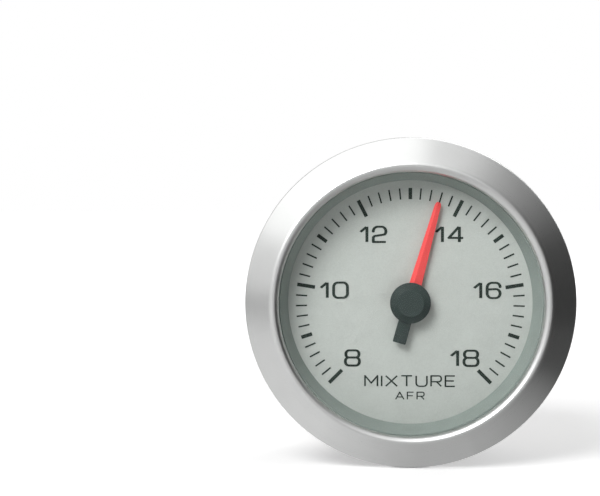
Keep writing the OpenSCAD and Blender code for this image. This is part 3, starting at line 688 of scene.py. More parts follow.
def drilled(piece, slot, radius, low_y, high_y, x=0.0):
    """Cuts a round hole through a piece, along y."""
    section = [(0.0, low_y), (radius, low_y), (radius, high_y), (0.0, high_y)]
    return combine(piece, turned("hole", slot, section, closed=False, place=(x, 0.0, 0.0)))


def circle(radius, steps):
    """Points around a circle."""
    angles = (math.tau * i / steps for i in range(steps))
    return [(radius * math.cos(a), radius * math.sin(a)) for a in angles]


def seat(piece, body, slot, *nodes):
    """Gives a piece its finish and its body, and hides the nodes that it stands for."""
    piece.data.materials.clear()
    piece.data.materials.append(finish(slot))
    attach(piece, body)
    if nodes:
        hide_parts(*nodes)
    return piece


def dress(node, slot):
    """Gives a node of the frame its finish."""
    piece = frame["nodes"][node]
    if not piece.material_slots:
        piece.data.materials.append(finish(slot))
    for place in piece.material_slots:
        place.material = finish(slot)


# Finishes


def new_finish(name):
    """A new material: its nodes, its Principled shader and its Object coordinates."""
    material = bpy.data.materials.new(name)
    material.use_nodes = True
    nodes = Nodes(material.node_tree)
    surface = material.node_tree.nodes["Principled BSDF"]
    coordinates = nodes.add("ShaderNodeTexCoord").outputs["Object"]
    return material, nodes, surface, coordinates


def noise(nodes, coordinates, size, detail=3.0):
    """Noise with features of about the given size."""
    texture = nodes.add("ShaderNodeTexNoise", {"Vector": coordinates, "Scale": 1 / size, "Detail": detail})
    return texture.outputs[0]


def between(nodes, value, low, high, start=0.3, stop=0.7):
    """A noise value stretched between two numbers."""
    stretched = nodes.add("ShaderNodeMapRange", {0: value, 1: start, 2: stop, 3: low, 4: high})
    return stretched.outputs[0]


def mixed(nodes, first, first_share, second, second_share):
    """The sum of two values, each times its share."""
    return nodes.math("MULTIPLY_ADD", first, first_share, nodes.math("MULTIPLY", second, second_share))


def span(nodes, vector):
    """The length of a vector."""
    return nodes.add("ShaderNodeVectorMath", {0: vector}, operation="LENGTH").outputs["Value"]


def shaded(nodes, value, colour, spread):
    """A colour that a noise value makes darker and lighter."""
    ramp = nodes.add("ShaderNodeValToRGB", {0: value})
    ends = ramp.color_ramp.elements
    for element, place, share in zip(ends, (0.3, 0.7), (1 - spread, 1 + spread)):
        element.position = place
        element.color = (*[min(channel * share, 1.0) for channel in colour], 1.0)
    return ramp.outputs[0]


def grained(nodes, surface, patches, colour, spread, grain, roughness, depth):
    """Gives a surface a tone that varies in patches, and a roughness and bumps that follow a grain."""
    height = {"Height": grain, "Distance": depth, "Strength": 1.0}
    nodes.fill(surface, {
        "Base Color": shaded(nodes, patches, colour, spread),
        "Roughness": between(nodes, grain, **roughness),
        "Normal": nodes.add("ShaderNodeBump", height).outputs[0],
    })


def plastic(name, colour, roughness, grain=0.12 * MM, depth=0.006 * MM, spread=0.05, shine=0.5):
    """Moulded plastic: faint patches of tone, a fine grain and a roughness that follows it."""
    material, nodes, surface, coordinates = new_finish(name)
    nodes.fill(surface, {"Specular IOR Level": shine})
    patches = noise(nodes, coordinates, 2.5 * MM)
    fine = noise(nodes, coordinates, grain)
    limits = dict(low=roughness - 0.04, high=roughness + 0.05)
    grained(nodes, surface, patches, colour, spread, fine, limits, depth)
    return material


def metal(name, colour, roughness, grain=0.1 * MM, spread=0.03, stretch=(1.0, 1.0, 1.0)):
    """Bare or plated metal, with a grain that may be drawn out along an axis."""
    material, nodes, surface, coordinates = new_finish(name)
    nodes.fill(surface, {"Metallic": 1.0})
    drawn = nodes.add("ShaderNodeMapping", {"Vector": coordinates, "Scale": stretch}).outputs[0]
    fine = noise(nodes, drawn, grain)
    patches = noise(nodes, coordinates, 30 * grain)
    limits = dict(low=roughness - 0.04, high=roughness + 0.06)
    grained(nodes, surface, patches, colour, spread, fine, limits, depth=0.002 * MM)
    return material


def spun_metal(name, colour, roughness):
    """Satin metal spun on a lathe: hair-fine rings round the axis under an even satin grain."""
    material, nodes, surface, coordinates = new_finish(name)
    nodes.fill(surface, {"Metallic": 1.0})
    flat = nodes.add("ShaderNodeMapping", {"Vector": coordinates, "Scale": (1.0, 0.0, 1.0)}).outputs[0]
    rings = nodes.add(
        "ShaderNodeTexNoise", {"W": span(nodes, flat), "Scale": 1 / (0.09 * MM), "Detail": 2.0},
        noise_dimensions="1D",
    ).outputs[0]
    fine = noise(nodes, coordinates, 0.07 * MM)
    patches = noise(nodes, coordinates, 6 * MM)
    satin = mixed(nodes, rings, 0.5, fine, 0.5)
    limits = dict(low=roughness - 0.03, high=roughness + 0.04)
    grained(nodes, surface, patches, colour, 0.02, satin, limits, depth=0.0008 * MM)
    return material


def clear_glass(name, colour):
    """A clear lens with a faint anti-glare coat. Lamps shine straight through it."""
    material, nodes, surface, coordinates = new_finish(name)
    smears = noise(nodes, coordinates, 9 * MM, 4.0)
    nodes.fill(surface, {
        "Base Color": (*colour, 1.0),
        "Transmission Weight": 1.0,
        "Specular IOR Level": 0.12,
        "IOR": 1.12,
        "Roughness": between(nodes, smears, low=0.0, high=0.02, start=0.45, stop=0.8),
    })
    clear = nodes.add("ShaderNodeBsdfTransparent", {0: (0.97, 0.98, 0.975, 1.0)})
    lamps = nodes.add("ShaderNodeLightPath").outputs["Is Shadow Ray"]
    both = nodes.add("ShaderNodeMixShader", {0: lamps, 1: surface.outputs[0], 2: clear.outputs[0]})
    nodes.fill(material.node_tree.nodes["Material Output"], {"Surface": both.outputs[0]})
    return material


def dial_paint(name, colour):
    """Silver grey paint: matt, with fine bright flakes and a faint screen grain."""
    material, nodes, surface, coordinates = new_finish(name)
    nodes.fill(surface, {"Specular IOR Level": 0.08})
    flakes = nodes.add("ShaderNodeTexVoronoi", {"Vector": coordinates, "Scale": 1 / (0.16 * MM)})
    speck = nodes.add("ShaderNodeSeparateColor", {0: flakes.outputs["Color"]}).outputs[0]
    patches = noise(nodes, coordinates, 3 * MM)
    silver = mixed(nodes, speck, 0.45, patches, 0.6)
    limits = dict(low=0.5, high=0.62, start=0.0, stop=1.0)
    grained(nodes, surface, silver, colour, 0.035, speck, limits, depth=0.003 * MM)
    return material


# The finish of each slot of the record: what makes it, its colour, and its own settings

FINISHES = {
    "satin_bezel": (spun_metal, "bezel", dict(roughness=0.3)),
    "clear_lens": (clear_glass, "lens", {}),
    "gasket_rubber": (plastic, "rubber", dict(roughness=0.75)),
    "visor_plastic": (plastic, "visor", dict(roughness=0.65, depth=0.003 * MM, spread=0.03, shine=0.08)),
    "dial_print": (dial_paint, "dial", {}),
    "dial_ink": (plastic, "ink", dict(
        roughness=0.6, grain=0.06 * MM, depth=0.003 * MM, spread=0.12, shine=0.12
    )),
    "pointer_red": (plastic, "pointer", dict(roughness=0.42, depth=0.002 * MM, spread=0.04, shine=0.3)),
    "hub_plastic": (plastic, "hub", dict(roughness=0.33, depth=0.002 * MM, spread=0.08, shine=0.3)),
    "plain_steel": (metal, "steel", dict(roughness=0.3, stretch=(1.0, 0.15, 1.0))),
    "white_plastic": (plastic, "white", dict(roughness=0.4, depth=0.002 * MM, spread=0.02)),
    "magnet": (metal, "magnet", dict(roughness=0.5, grain=0.05 * MM, spread=0.15)),
    "movement_nylon": (plastic, "nylon", dict(roughness=0.5, spread=0.03)),
    "copper_winding": (metal, "copper", dict(roughness=0.3, spread=0.08)),
    "board": (plastic, "board", dict(roughness=0.35, grain=0.3 * MM, spread=0.12)),
    "black_plastic": (plastic, "black", dict(roughness=0.42, spread=0.1)),
    "can_aluminium": (metal, "can", dict(roughness=0.28, stretch=(1.0, 0.1, 1.0))),
    "zinc_plate": (metal, "zinc", dict(roughness=0.36, spread=0.07)),
    "cup_plastic": (plastic, "black", dict(roughness=0.5, grain=0.22 * MM, depth=0.012 * MM, spread=0.1)),
    "pin_brass": (metal, "gold", dict(roughness=0.24)),
    "nut_brass": (metal, "brass", dict(roughness=0.3, stretch=(1.0, 0.2, 1.0), spread=0.06)),
}


def finish(slot):
    """The finish of a slot of the record, made when it is first asked for."""
    name = "gauge_" + slot
    if name not in bpy.data.materials:
        make, colour, settings = FINISHES[slot]
        make(name, getattr(bpy.context.scene.gauge_colours, colour), **settings)
    return bpy.data.materials[name]


# Lettering, drawn as the path of a pen whose nib is an ellipse

NIB_STEPS = 16
FLAT_ANGLE = 0.01
NUMERAL_PLACES = {
    "8": (-10.5, -10.2),
    "10": (-13.85, 2.2),
    "12": (-6.75, 12.4),
    "14": (7.15, 12.4),
    "16": (14.0, 2.2),
    "18": (9.95, -10.2),
}

# Each glyph is its width as a share of its height, and its strokes: points (x, y, rounding) as shares of the
# box of the pen's path, the rounding as a share of the height
GLYPHS = {
    "0": (0.97, [("closed", [(0, 0, 0.25), (1, 0, 0.25), (1, 1, 0.25), (0, 1, 0.25)])]),
    "1": (0.545, [("open", [(1, 0, 0), (1, 1, 0)]), ("open", [(0.93, 0.985, 0), (0, 0.655, 0)])]),
    "2": (0.895, [("open", [
        (0, 0.64, 0), (0, 1, 0.26), (1, 1, 0.26), (1, 0.5, 0.17), (0, 0.38, 0.14), (0, 0, 0), (1, 0, 0),
    ])]),
    "4": (1.0, [("open", [(0.73, 0, 0), (0.73, 1, 0)]), ("open", [(0.7, 1, 0), (0, 0.27, 0), (1, 0.27, 0)])]),
    "6": (0.915, [("open", [
        (1, 0.76, 0), (1, 1, 0.24), (0, 1, 0.28), (0, 0, 0.28), (1, 0, 0.26), (1, 0.6, 0.24), (0, 0.56, 0),
    ])]),
    "8": (0.98, [
        ("closed", [(0, 0, 0.21), (1, 0, 0.21), (1, 0.53, 0.2), (0, 0.53, 0.2)]),
        ("closed", [(0.03, 0.53, 0.18), (0.97, 0.53, 0.18), (0.97, 1, 0.2), (0.03, 1, 0.2)]),
    ]),
    "A": (1.15, [("open", [(0, 0, 0), (0.5, 1, 0), (1, 0, 0)]), ("open", [(0.2, 0.33, 0), (0.8, 0.33, 0)])]),
    "E": (0.94, [
        ("open", [(1, 1, 0), (0, 1, 0), (0, 0, 0), (1, 0, 0)]),
        ("open", [(0, 0.52, 0), (0.9, 0.52, 0)]),
    ]),
    "F": (0.9, [("open", [(1, 1, 0), (0, 1, 0), (0, 0, 0)]), ("open", [(0, 0.5, 0), (0.88, 0.5, 0)])]),
    "I": (0.14, [("open", [(0.5, 0, 0), (0.5, 1, 0)])]),
    "M": (1.2, [("open", [(0, 0, 0), (0, 1, 0), (0.5, 0.3, 0), (1, 1, 0), (1, 0, 0)])]),
    "R": (1.0, [
        ("open", [(0, 0, 0), (0, 1, 0), (1, 1, 0.22), (1, 0.44, 0.22), (0, 0.44, 0)]),
        ("open", [(0.55, 0.44, 0), (1, 0, 0)]),
    ]),
    "T": (1.05, [("open", [(0, 1, 0), (1, 1, 0)]), ("open", [(0.5, 0, 0), (0.5, 1, 0)])]),
    "U": (1.05, [("open", [(0, 1, 0), (0, 0, 0.28), (1, 0, 0.28), (1, 1, 0)])]),
    "X": (1.1, [("open", [(0, 0, 0), (1, 1, 0)]), ("open", [(0, 1, 0), (1, 0, 0)])]),
}


def nib_edge(normal, nib):
    """The point of the nib that faces along a normal."""
    far = math.hypot(nib[0] * normal.x, nib[1] * normal.y)
    return Vector((nib[0] ** 2 * normal.x, nib[1] ** 2 * normal.y)) / far


def stroke_faces(path, nib, closed):
    """Quads that cover a stroke, and the nib itself at each sharp corner."""
    faces = []
    count = len(path)
    for i in range(count if closed else count - 1):
        start = path[i]
        end = path[(i + 1) % count]
        along = (end - start).normalized()
        edge = nib_edge(Vector((-along.y, along.x)), nib)
        faces.append([start - edge, end - edge, end + edge, start + edge])
        last = not closed and i == count - 2
        if not last:
            turns = [math.tau * k / NIB_STEPS for k in range(NIB_STEPS)]
            faces.append([end + Vector((nib[0] * math.cos(t), nib[1] * math.sin(t))) for t in turns])
    return faces


def word_faces(word, height, nib, gap, middle):
    """Flat faces that cover a word, centred on a point."""
    width = sum(GLYPHS[letter][0] * height for letter in word) + gap * (len(word) - 1)
    left = middle[0] - width / 2
    low = middle[1] - height / 2
    faces = []
    for letter in word:
        share, strokes = GLYPHS[letter]
        room = Vector((share * height - 2 * nib[0], height - 2 * nib[1]))
        for kind, corners in strokes:
            path = rounded(
                [
                    (left + nib[0] + x * room.x, low + nib[1] + y * room.y, turn * height)
                    for x, y, turn in corners
                ],
                kind == "closed",
                steps=8,
            )
            faces += stroke_faces(path, nib, kind == "closed")
        left += share * height + gap
    return faces


def printed(name, faces, low_y, high_y):
    """A thin print: the union of flat faces, raised between two depths."""
    points = [point for face in faces for point in face]
    indices = []
    for face in faces:
        start = indices[-1][-1] + 1 if indices else 0
        indices.append(list(range(start, start + len(face))))
    found = delaunay_2d_cdt(points, [], indices, 1, WELD)
    shape = bmesh.new()
    corners = [shape.verts.new((p.x, high_y, p.y)) for p in found[0]]
    for face, sources in zip(found[2], found[5]):
        if sources:
            shape.faces.new([corners[i] for i in face])
    loose = [vertex for vertex in shape.verts if not vertex.link_faces]
    bmesh.ops.delete(shape, geom=loose, context="VERTS")
    bmesh.ops.dissolve_limit(shape, angle_limit=FLAT_ANGLE, verts=shape.verts, edges=shape.edges)
    raised = bmesh.ops.extrude_face_region(shape, geom=shape.faces[:], use_keep_orig=True)
    for item in raised["geom"]:
        if isinstance(item, bmesh.types.BMVert):
            item.co.y = low_y
    return modelled(name, shape)


# Glowing cards that only reflections see, between two opposite corners: painted reflections, not lamps, that make
# the metal and the glass lighter or darker where they face them. The first side runs along the axes named, and the
# glow along one axis, between two pairs of a place and a glow strength.

CARD_LEVEL = CAD_BOX[0].z + 0.2 * MM
CARD_SIDE = 0.14
CARD_SPLIT = 0.013
REFLECTION_CARDS = {
    # At the right: painted dark reflection down the right side of the bezel, dark low down and lighter high up
    "right_card": dict(
        start=(CARD_SIDE, -0.25, CARD_LEVEL), stop=(CARD_SIDE, 0.12, 0.3), first_side="y",
        glow_axis="z", low=(0.05, 0.05), high=(0.3, 0.9),
    ),
    # On the floor at the right: painted reflection of shaded floor in the lower right of the bezel, darker further
    # out
    "low_card": dict(
        start=(CARD_SPLIT, -0.2, CARD_LEVEL), stop=(CARD_SIDE, 0.06, CARD_LEVEL), first_side="x",
        glow_axis="x", low=(0.016, 0.55), high=(0.06, 0.09),
    ),
    # On the floor at the left: painted reflection of lit floor in the lower left of the bezel, lighter further
    # left
    "left_low_card": dict(
        start=(-CARD_SIDE, -0.2, CARD_LEVEL), stop=(CARD_SPLIT, 0.06, CARD_LEVEL), first_side="x",
        glow_axis="x", low=(-0.02, 0.95), high=(0.002, 0.6),
    ),
    # Behind the gauge: painted grey reflection in the rounded outer edge of the bezel
    "rear_card": dict(
        start=(-0.1, 0.1, -0.1), stop=(0.1, 0.1, 0.1), first_side="x",
        glow_axis="x", low=(-0.1, 0.3), high=(0.1, 0.3),
    ),
    # At the upper left: painted highlight, brighter than white, along the upper left of the bezel
    "upper_card": dict(
        start=(-0.414, -0.25, 0.176), stop=(0.063, 0.25, 0.446), first_side="xz",
        glow_axis="x", low=(-0.414, 1.55), high=(-0.3, 1.7),
    ),
    # In front: painted dim reflection on the crest of the lip and in the lens
    "front_card": dict(
        start=(-0.2, -0.5, -0.2), stop=(0.2, -0.5, 0.2), first_side="z",
        glow_axis="x", low=(-0.2, 0.6), high=(0.2, 0.6),
    ),
}


# Nodes of the frame that stay, each in its own finish

KEPT_NODES = (
    "pointer_shaft", "output_wheel", "middle_wheel", "rotor_pinion", "rotor_magnet", "movement_front_case",
    "movement_rear_case", "stator_yoke", "stator_coils", "light_guide", "dial_lamps", "circuit_board",
    "driver_chip", "filter_capacitors", "board_screws", "housing_cup", "socket_shell",
)


# Operators, one for each piece or group of like pieces


class GAUGE_OT_stage(Operator):
    """Sets the floor, the world, the lamps, the glowing cards of painted reflections and the camera"""

    bl_idname = "gauge.stage"
    bl_label = "Stage"

    def execute(self, context):
        sizes = context.scene.gauge_stage
        context.scene.view_settings.view_transform = "Standard"
        self.world(context, sizes)
        self.floor(sizes)
        self.lamp("softbox", sizes.softbox_place, sizes.softbox_size, sizes.softbox_power)
        self.lamp("rear_lamp", sizes.rear_place, sizes.rear_size, sizes.rear_power)
        for name, card in REFLECTION_CARDS.items():
            self.card(name, **card)
        self.camera(context, sizes)
        return {"FINISHED"}

    def world(self, context, sizes):
        """White where the world is seen, also in metal and through glass, and an even light elsewhere."""
        world = bpy.data.worlds.new("studio")
        world.use_nodes = True
        context.scene.world = world
        nodes = Nodes(world.node_tree)
        rays = nodes.add("ShaderNodeLightPath").outputs
        seen = nodes.math("MAXIMUM", rays["Is Camera Ray"], rays["Is Glossy Ray"])
        seen = nodes.math("MAXIMUM", seen, rays["Is Transmission Ray"])
        direct = nodes.math("LESS_THAN", rays["Diffuse Depth"], 0.5)
        seen = nodes.math("MULTIPLY", seen, direct)
        outside = nodes.math("SUBTRACT", 1.0, rays["Is Transmission Ray"])
        light = nodes.math("MULTIPLY", outside, sizes.ambient)
        strength = nodes.math("MAXIMUM", seen, light)
        nodes.fill(world.node_tree.nodes["Background"], {"Color": WHITE, "Strength": strength})

    def floor(self, sizes):
        """A pale floor that the camera sees as white, with the shadow of the gauge on it."""
        half = sizes.floor_size / 2
        level = CAD_BOX[0].z
        floor = sheet("floor", [
            (-half, -half, level), (half, -half, level), (half, half, level), (-half, half, level),
        ])
        material, nodes, surface, coordinates = new_finish("floor_paper")
        fibres = noise(nodes, coordinates, 4 * MM)
        away = span(nodes, coordinates)
        glow = between(nodes, away, low=0.42, high=0.9, start=0.08, stop=0.5)
        seen = nodes.add("ShaderNodeLightPath").outputs["Is Camera Ray"]
        nodes.fill(surface, {
            "Roughness": 0.9,
            "Base Color": shaded(nodes, fibres, (0.8, 0.8, 0.8), 0.01),
            "Emission Color": WHITE,
            "Emission Strength": nodes.math("MULTIPLY", seen, glow),
        })
        floor.data.materials.append(material)

    def lamp(self, name, place, size, power):
        """A square soft lamp that faces the gauge and stays out of the picture."""
        data = bpy.data.lights.new(name, "AREA")
        data.size = size
        data.energy = power
        lamp = link(name, data)
        lamp.location = place
        lamp.rotation_euler = (-lamp.location).to_track_quat("-Z", "Y").to_euler()
        lamp.visible_camera = False
        lamp.visible_transmission = False

    def card(self, name, start, stop, first_side, glow_axis, low, high):
        """A glowing card between two opposite corners that only reflections see: a painted reflection, not a lamp.
        Its glow runs between two places along an axis.
        """
        second = [b if axis in first_side else a for axis, a, b in zip("xyz", start, stop)]
        fourth = [a if axis in first_side else b for axis, a, b in zip("xyz", start, stop)]
        card = sheet(name, [start, second, stop, fourth])
        card.visible_camera = False
        card.visible_diffuse = False
        card.visible_shadow = False
        card.visible_transmission = False
        material, nodes, surface, coordinates = new_finish(name)
        place = nodes.add("ShaderNodeSeparateXYZ", {0: coordinates}).outputs["xyz".index(glow_axis)]
        # A black card that glows: its glow is the brightness of the painted reflection
        nodes.fill(surface, {
            "Base Color": BLACK,
            "Specular IOR Level": 0.0,
            "Emission Color": WHITE,
            "Emission Strength": between(nodes, place, low[1], high[1], low[0], high[0]),
        })
        card.data.materials.append(material)

    def camera(self, context, sizes):
        """A camera that sees the bezel at its place and size in the picture."""
        data = bpy.data.cameras.new("camera")
        data.lens = sizes.lens_mm
        camera = link("camera", data)
        context.scene.camera = camera
        focal_px = sizes.lens_mm / data.sensor_width * PICTURE_W
        target = Vector((0.0, -context.scene.gauge_bezel.edge_h, 0.0))
        distance = 2 * reach("bezel_ring") * focal_px / sizes.bezel_px
        level = math.cos(sizes.elevation)
        direction = Vector((
            math.sin(sizes.azimuth) * level, -math.cos(sizes.azimuth) * level, math.sin(sizes.elevation)
        ))
        camera.location = target + direction * distance
        seen = Vector((
            (sizes.centre_x_px - PICTURE_W / 2) / focal_px,
            (PICTURE_H / 2 - sizes.centre_y_px) / focal_px,
            -1.0,
        )).normalized()
        tall = math.hypot(seen.y, seen.z)
        pitch = math.atan2(seen.y, seen.z) - math.acos(-direction.z / tall)
        pitched = Matrix.Rotation(pitch, 3, "X") @ seen
        yaw = math.atan2(-direction.y, -direction.x) - math.atan2(pitched.y, pitched.x)
        camera.rotation_euler = (pitch, 0.0, yaw)


class GAUGE_OT_bezel(Operator):
    """Turns the bezel: a cone between two roundings, rolled in behind the flange of the cup"""

    bl_idname = "gauge.bezel"
    bl_label = "Bezel Ring"

    def execute(self, context):
        sizes = context.scene.gauge_bezel
        outer = reach("bezel_ring")
        lens_front = front("lens")
        lens_side = lens_front + (rear("lens") - lens_front) / 4
        edge = Vector((outer - sizes.edge_round, -sizes.edge_h))
        lip = Vector((sizes.bore_r + sizes.lip_round, front("bezel_ring") + sizes.lip_round))
        line = lip - edge
        lean = math.acos((sizes.edge_round - sizes.lip_round) / line.length)
        facing = math.atan2(line.y, line.x) + lean
        normal = Vector((math.cos(facing), math.sin(facing)))
        start = edge + normal * sizes.edge_round
        slope = normal.orthogonal()
        foot = start + slope * (outer - start.x) / slope.x
        crest = start + slope * (sizes.bore_r - start.x) / slope.x
        small = sizes.small_round
        section = rounded(
            [
                (crest.x, crest.y, sizes.lip_round),
                (foot.x, foot.y, sizes.edge_round),
                (outer, 0.0, small),
                (sizes.curl_r, 0.0, small),
                (sizes.curl_r, -sizes.curl_t, small),
                (outer - sizes.wall, -sizes.curl_t, 0.0),
                (outer - sizes.wall, sizes.flange_y, 0.0),
                (sizes.lens_bore_r, lens_side, 0.0),
                (sizes.lens_bore_r, lens_front, 0.0),
                (sizes.bore_r, lens_front, 0.0),
            ],
            steps=14,
        )
        ring = turned("bezel", "satin_bezel", section, steps=sizes.steps)
        seat(ring, HOUSING, "satin_bezel", "bezel_ring")
        return {"FINISHED"}


class GAUGE_OT_visor(Operator):
    """Turns the tapered visor ring and the gasket in front of it"""

    bl_idname = "gauge.visor"
    bl_label = "Visor Ring and Gasket"

    def execute(self, context):
        sizes = context.scene.gauge_visor
        top = front("visor_ring")
        foot = rear("visor_ring")
        rim = reach("visor_ring")
        small = sizes.edge_round
        section = rounded([
            (sizes.foot_r, foot, small),
            (sizes.skirt_r, foot, small),
            (sizes.skirt_r, top + sizes.rim_t, 0.0),
            (rim, top + sizes.rim_t, small),
            (rim, top, small),
            (sizes.top_r, top, small),
        ])
        visor = turned("visor", "visor_plastic", section, steps=sizes.steps)
        seat(visor, HOUSING, "visor_plastic", "visor_ring")
        outer = reach("lens_gasket")
        section = ring_section(
            outer - sizes.gasket_w, outer, rear("lens_gasket"), front("lens_gasket"), small, small
        )
        gasket = turned("gasket", "gasket_rubber", section, steps=sizes.steps)
        seat(gasket, HOUSING, "gasket_rubber", "lens_gasket")
        return {"FINISHED"}


class GAUGE_OT_lens(Operator):
    """Turns the flat clear lens"""

    bl_idname = "gauge.lens"
    bl_label = "Lens"

    def execute(self, context):
        sizes = context.scene.gauge_lens
        outer = reach("lens")
        section = rounded(
            [
                (0.0, front("lens"), 0.0),
                (outer, front("lens"), sizes.bevel),
                (outer, rear("lens"), sizes.bevel),
                (0.0, rear("lens"), 0.0),
            ],
            closed=False,
        )
        disc = turned("clear_disc", "clear_lens", section, closed=False, steps=sizes.steps)
        seat(disc, HOUSING, "clear_lens", "lens")
        return {"FINISHED"}


class GAUGE_OT_dial(Operator):
    """Cuts the dial plate, and prints its marks, its numerals and its legends"""

    bl_idname = "gauge.dial"
    bl_label = "Dial"

    def execute(self, context):
        sizes = context.scene.gauge_dial
        face = front("dial_plate")
        disc = plate(
            "dial",
            [circle(reach("dial_plate"), steps=192), circle(sizes.hole_r, steps=64)],
            face,
            rear("dial_plate"),
            sizes.edge_bevel,
        )
        seat(disc, HOUSING, "dial_print", "dial_plate")
        marks = grow("marks", bpy.data.meshes.new("marks"), marks_tree(), {
            "Numbers": sizes.numbers,
            "Marks Each": sizes.marks_each,
            "Sweep": SCALE_SWEEP,
            "Radius": sizes.mark_r,
            "Depth": face - sizes.mark_t / 2,
            "Thickness": sizes.mark_t,
            "Major Length": sizes.major_l,
            "Minor Length": sizes.minor_l,
            "Major Width": sizes.major_w,
            "Minor Width": sizes.minor_w,
            "Material": finish("dial_ink"),
        })
        seat(marks, HOUSING, "dial_ink", "scale_marks")
        seat(self.numerals(sizes, face), HOUSING, "dial_ink")
        seat(self.legends(sizes, face), HOUSING, "dial_ink")
        return {"FINISHED"}

    def numerals(self, sizes, face):
        """The even numbers of the scale."""
        nib = (sizes.text_v / 2, sizes.text_b / 2)
        faces = []
        for word, (x, z) in NUMERAL_PLACES.items():
            faces += word_faces(word, sizes.text_h, nib, sizes.text_gap, (x * MM, z * MM))
        return printed("numerals", faces, face - sizes.mark_t, face)

    def legends(self, sizes, face):
        """Two plain legends that say what the scale reads."""
        bar_share = 0.8
        faces = []
        for word, height, stroke, gap, z in (
            ("MIXTURE", sizes.legend_h, sizes.legend_stroke, sizes.legend_gap, sizes.legend_z),
            ("AFR", sizes.note_h, sizes.note_stroke, sizes.note_gap, sizes.note_z),
        ):
            nib = (stroke / 2, stroke * bar_share / 2)
            faces += word_faces(word, height, nib, gap, (0.0, z))
        return printed("legends", faces, face - sizes.mark_t, face)


class GAUGE_OT_pointer(Operator):
    """Makes the red blade, the dark cap and the counterweight"""

    bl_idname = "gauge.pointer"
    bl_label = "Pointer"

    def execute(self, context):
        sizes = context.scene.gauge_pointer
        seat(self.blade(sizes), POINTER, "pointer_red", "pointer_blade")
        seat(self.cap(sizes), POINTER, "hub_plastic", "pointer_cap")
        seat(self.tail(sizes), POINTER, "hub_plastic", "pointer_counterweight")
        return {"FINISHED"}

    def turn_to_reading(self, piece):
        """Turns a piece that points straight up to the reading at rest."""
        piece.data.transform(Matrix.Rotation(REST_ANGLE, 4, "Y"))
        return piece

    def blade(self, sizes):
        """A tapered blade whose ridge lies left of its middle, and the boss on the shaft."""
        base = rear("pointer_blade")
        ridge_share = 0.17
        blunt = 0.45
        blunt_from = 0.965
        foot_round, side_round, ridge_round, boss_round = 0.04 * MM, 0.05 * MM, 0.12 * MM, 0.1 * MM
        rings = []
        for share in (0.0, 0.25, 0.5, 0.75, blunt_from, 0.985, 1.0):
            z = sizes.tip_r * share
            half = (sizes.root_w + (sizes.tip_w - sizes.root_w) * share) / 2
            high = sizes.blade_h + (sizes.tip_h - sizes.blade_h) * share
            side = sizes.side_h
            if share > blunt_from:
                kept = 1 - blunt * ((share - blunt_from) / (1 - blunt_from)) ** 2
                half *= kept
                high *= kept
                side *= kept
            ridge = -ridge_share * half * 2
            ring = rounded([
                (-half, 0.0, foot_round),
                (half, 0.0, foot_round),
                (half, side, side_round),
                (ridge, high, ridge_round),
                (-half, side, side_round),
            ], steps=3, hold=0.01 * MM)
            rings.append([(x, base - y, z) for x, y in ring])
        section = ring_section(sizes.shaft_r, sizes.boss_r, base, front("pointer_blade"), boss_round)
        boss = turned("boss", "pointer_red", section)
        return self.turn_to_reading(combine(lofted("blade", rings), boss, "UNION"))

    def cap(self, sizes):
        """A low cap with a sloping flank and a gate mark in the middle."""
        top = front("pointer_cap")
        foot = rear("pointer_cap")
        outer = reach("pointer_cap")
        small = sizes.cap_round
        gate_depth, gate_round, foot_round = 0.07 * MM, 0.03 * MM, 0.05 * MM
        section = rounded(
            [
                (0.0, top + gate_depth, 0.0),
                (sizes.dimple_r, top + gate_depth, gate_round),
                (sizes.dimple_r, top, gate_round),
                (outer - sizes.cap_flank, top, small),
                (outer, foot - sizes.cap_skirt, small),
                (outer, foot, foot_round),
                (0.0, foot, 0.0),
            ],
            closed=False,
        )
        return turned("cap", "hub_plastic", section, closed=False, steps=96)

    def tail(self, sizes):
        """The counterweight under the cap."""
        half = sizes.tail_w / 2
        clearance = 0.1 * MM
        foot = rear("pointer_counterweight")
        top = front("pointer_counterweight")
        tail = block("tail", (-half, top, -sizes.tail_l), (half, foot, 0.0), sizes.tail_round)
        tail = drilled(tail, "hub_plastic", sizes.boss_r + clearance, top - MM, foot + MM)
        return self.turn_to_reading(tail)


def stud_place(sizes):
    """How far the middle of a stud lies from the axis."""
    return reach("mounting_studs") - sizes.head_r


class GAUGE_OT_studs(Operator):
    """Turns the two threaded studs with their heads in the cup"""

    bl_idname = "gauge.studs"
    bl_label = "Mounting Studs"

    def execute(self, context):
        sizes = context.scene.gauge_fastening
        head = front("mounting_studs")
        end = rear("mounting_studs")
        place = stud_place(sizes)
        rows_each = 8
        row = sizes.thread_pitch / rows_each
        rows = int((end - sizes.tip_round - sizes.thread_y) / row)
        chamfer = 0.15 * MM
        section = [
            (0.0, head),
            (sizes.head_r - chamfer, head),
            (sizes.head_r, head + chamfer),
            (sizes.head_r, head + sizes.head_t),
            (sizes.stud_r, head + sizes.head_t),
        ]
        section += [(sizes.stud_r, sizes.thread_y + row * i) for i in range(rows + 1)]
        section += [(sizes.stud_r - sizes.tip_round, end), (0.0, end)]
        studs = [
            turned(
                name, "zinc_plate", section, closed=False, steps=48, place=(x, 0.0, 0.0), ridges=1,
                ridge_pitch=sizes.thread_pitch, ridge_depth=sizes.thread_depth,
                ridge_radius=sizes.stud_r - chamfer, ridge_start=sizes.thread_y - row / 2,
            )
            for name, x in (("studs", -place), ("stud_right", place))
        ]
        seat(joined(studs), HOUSING, "zinc_plate", "mounting_studs")
        return {"FINISHED"}


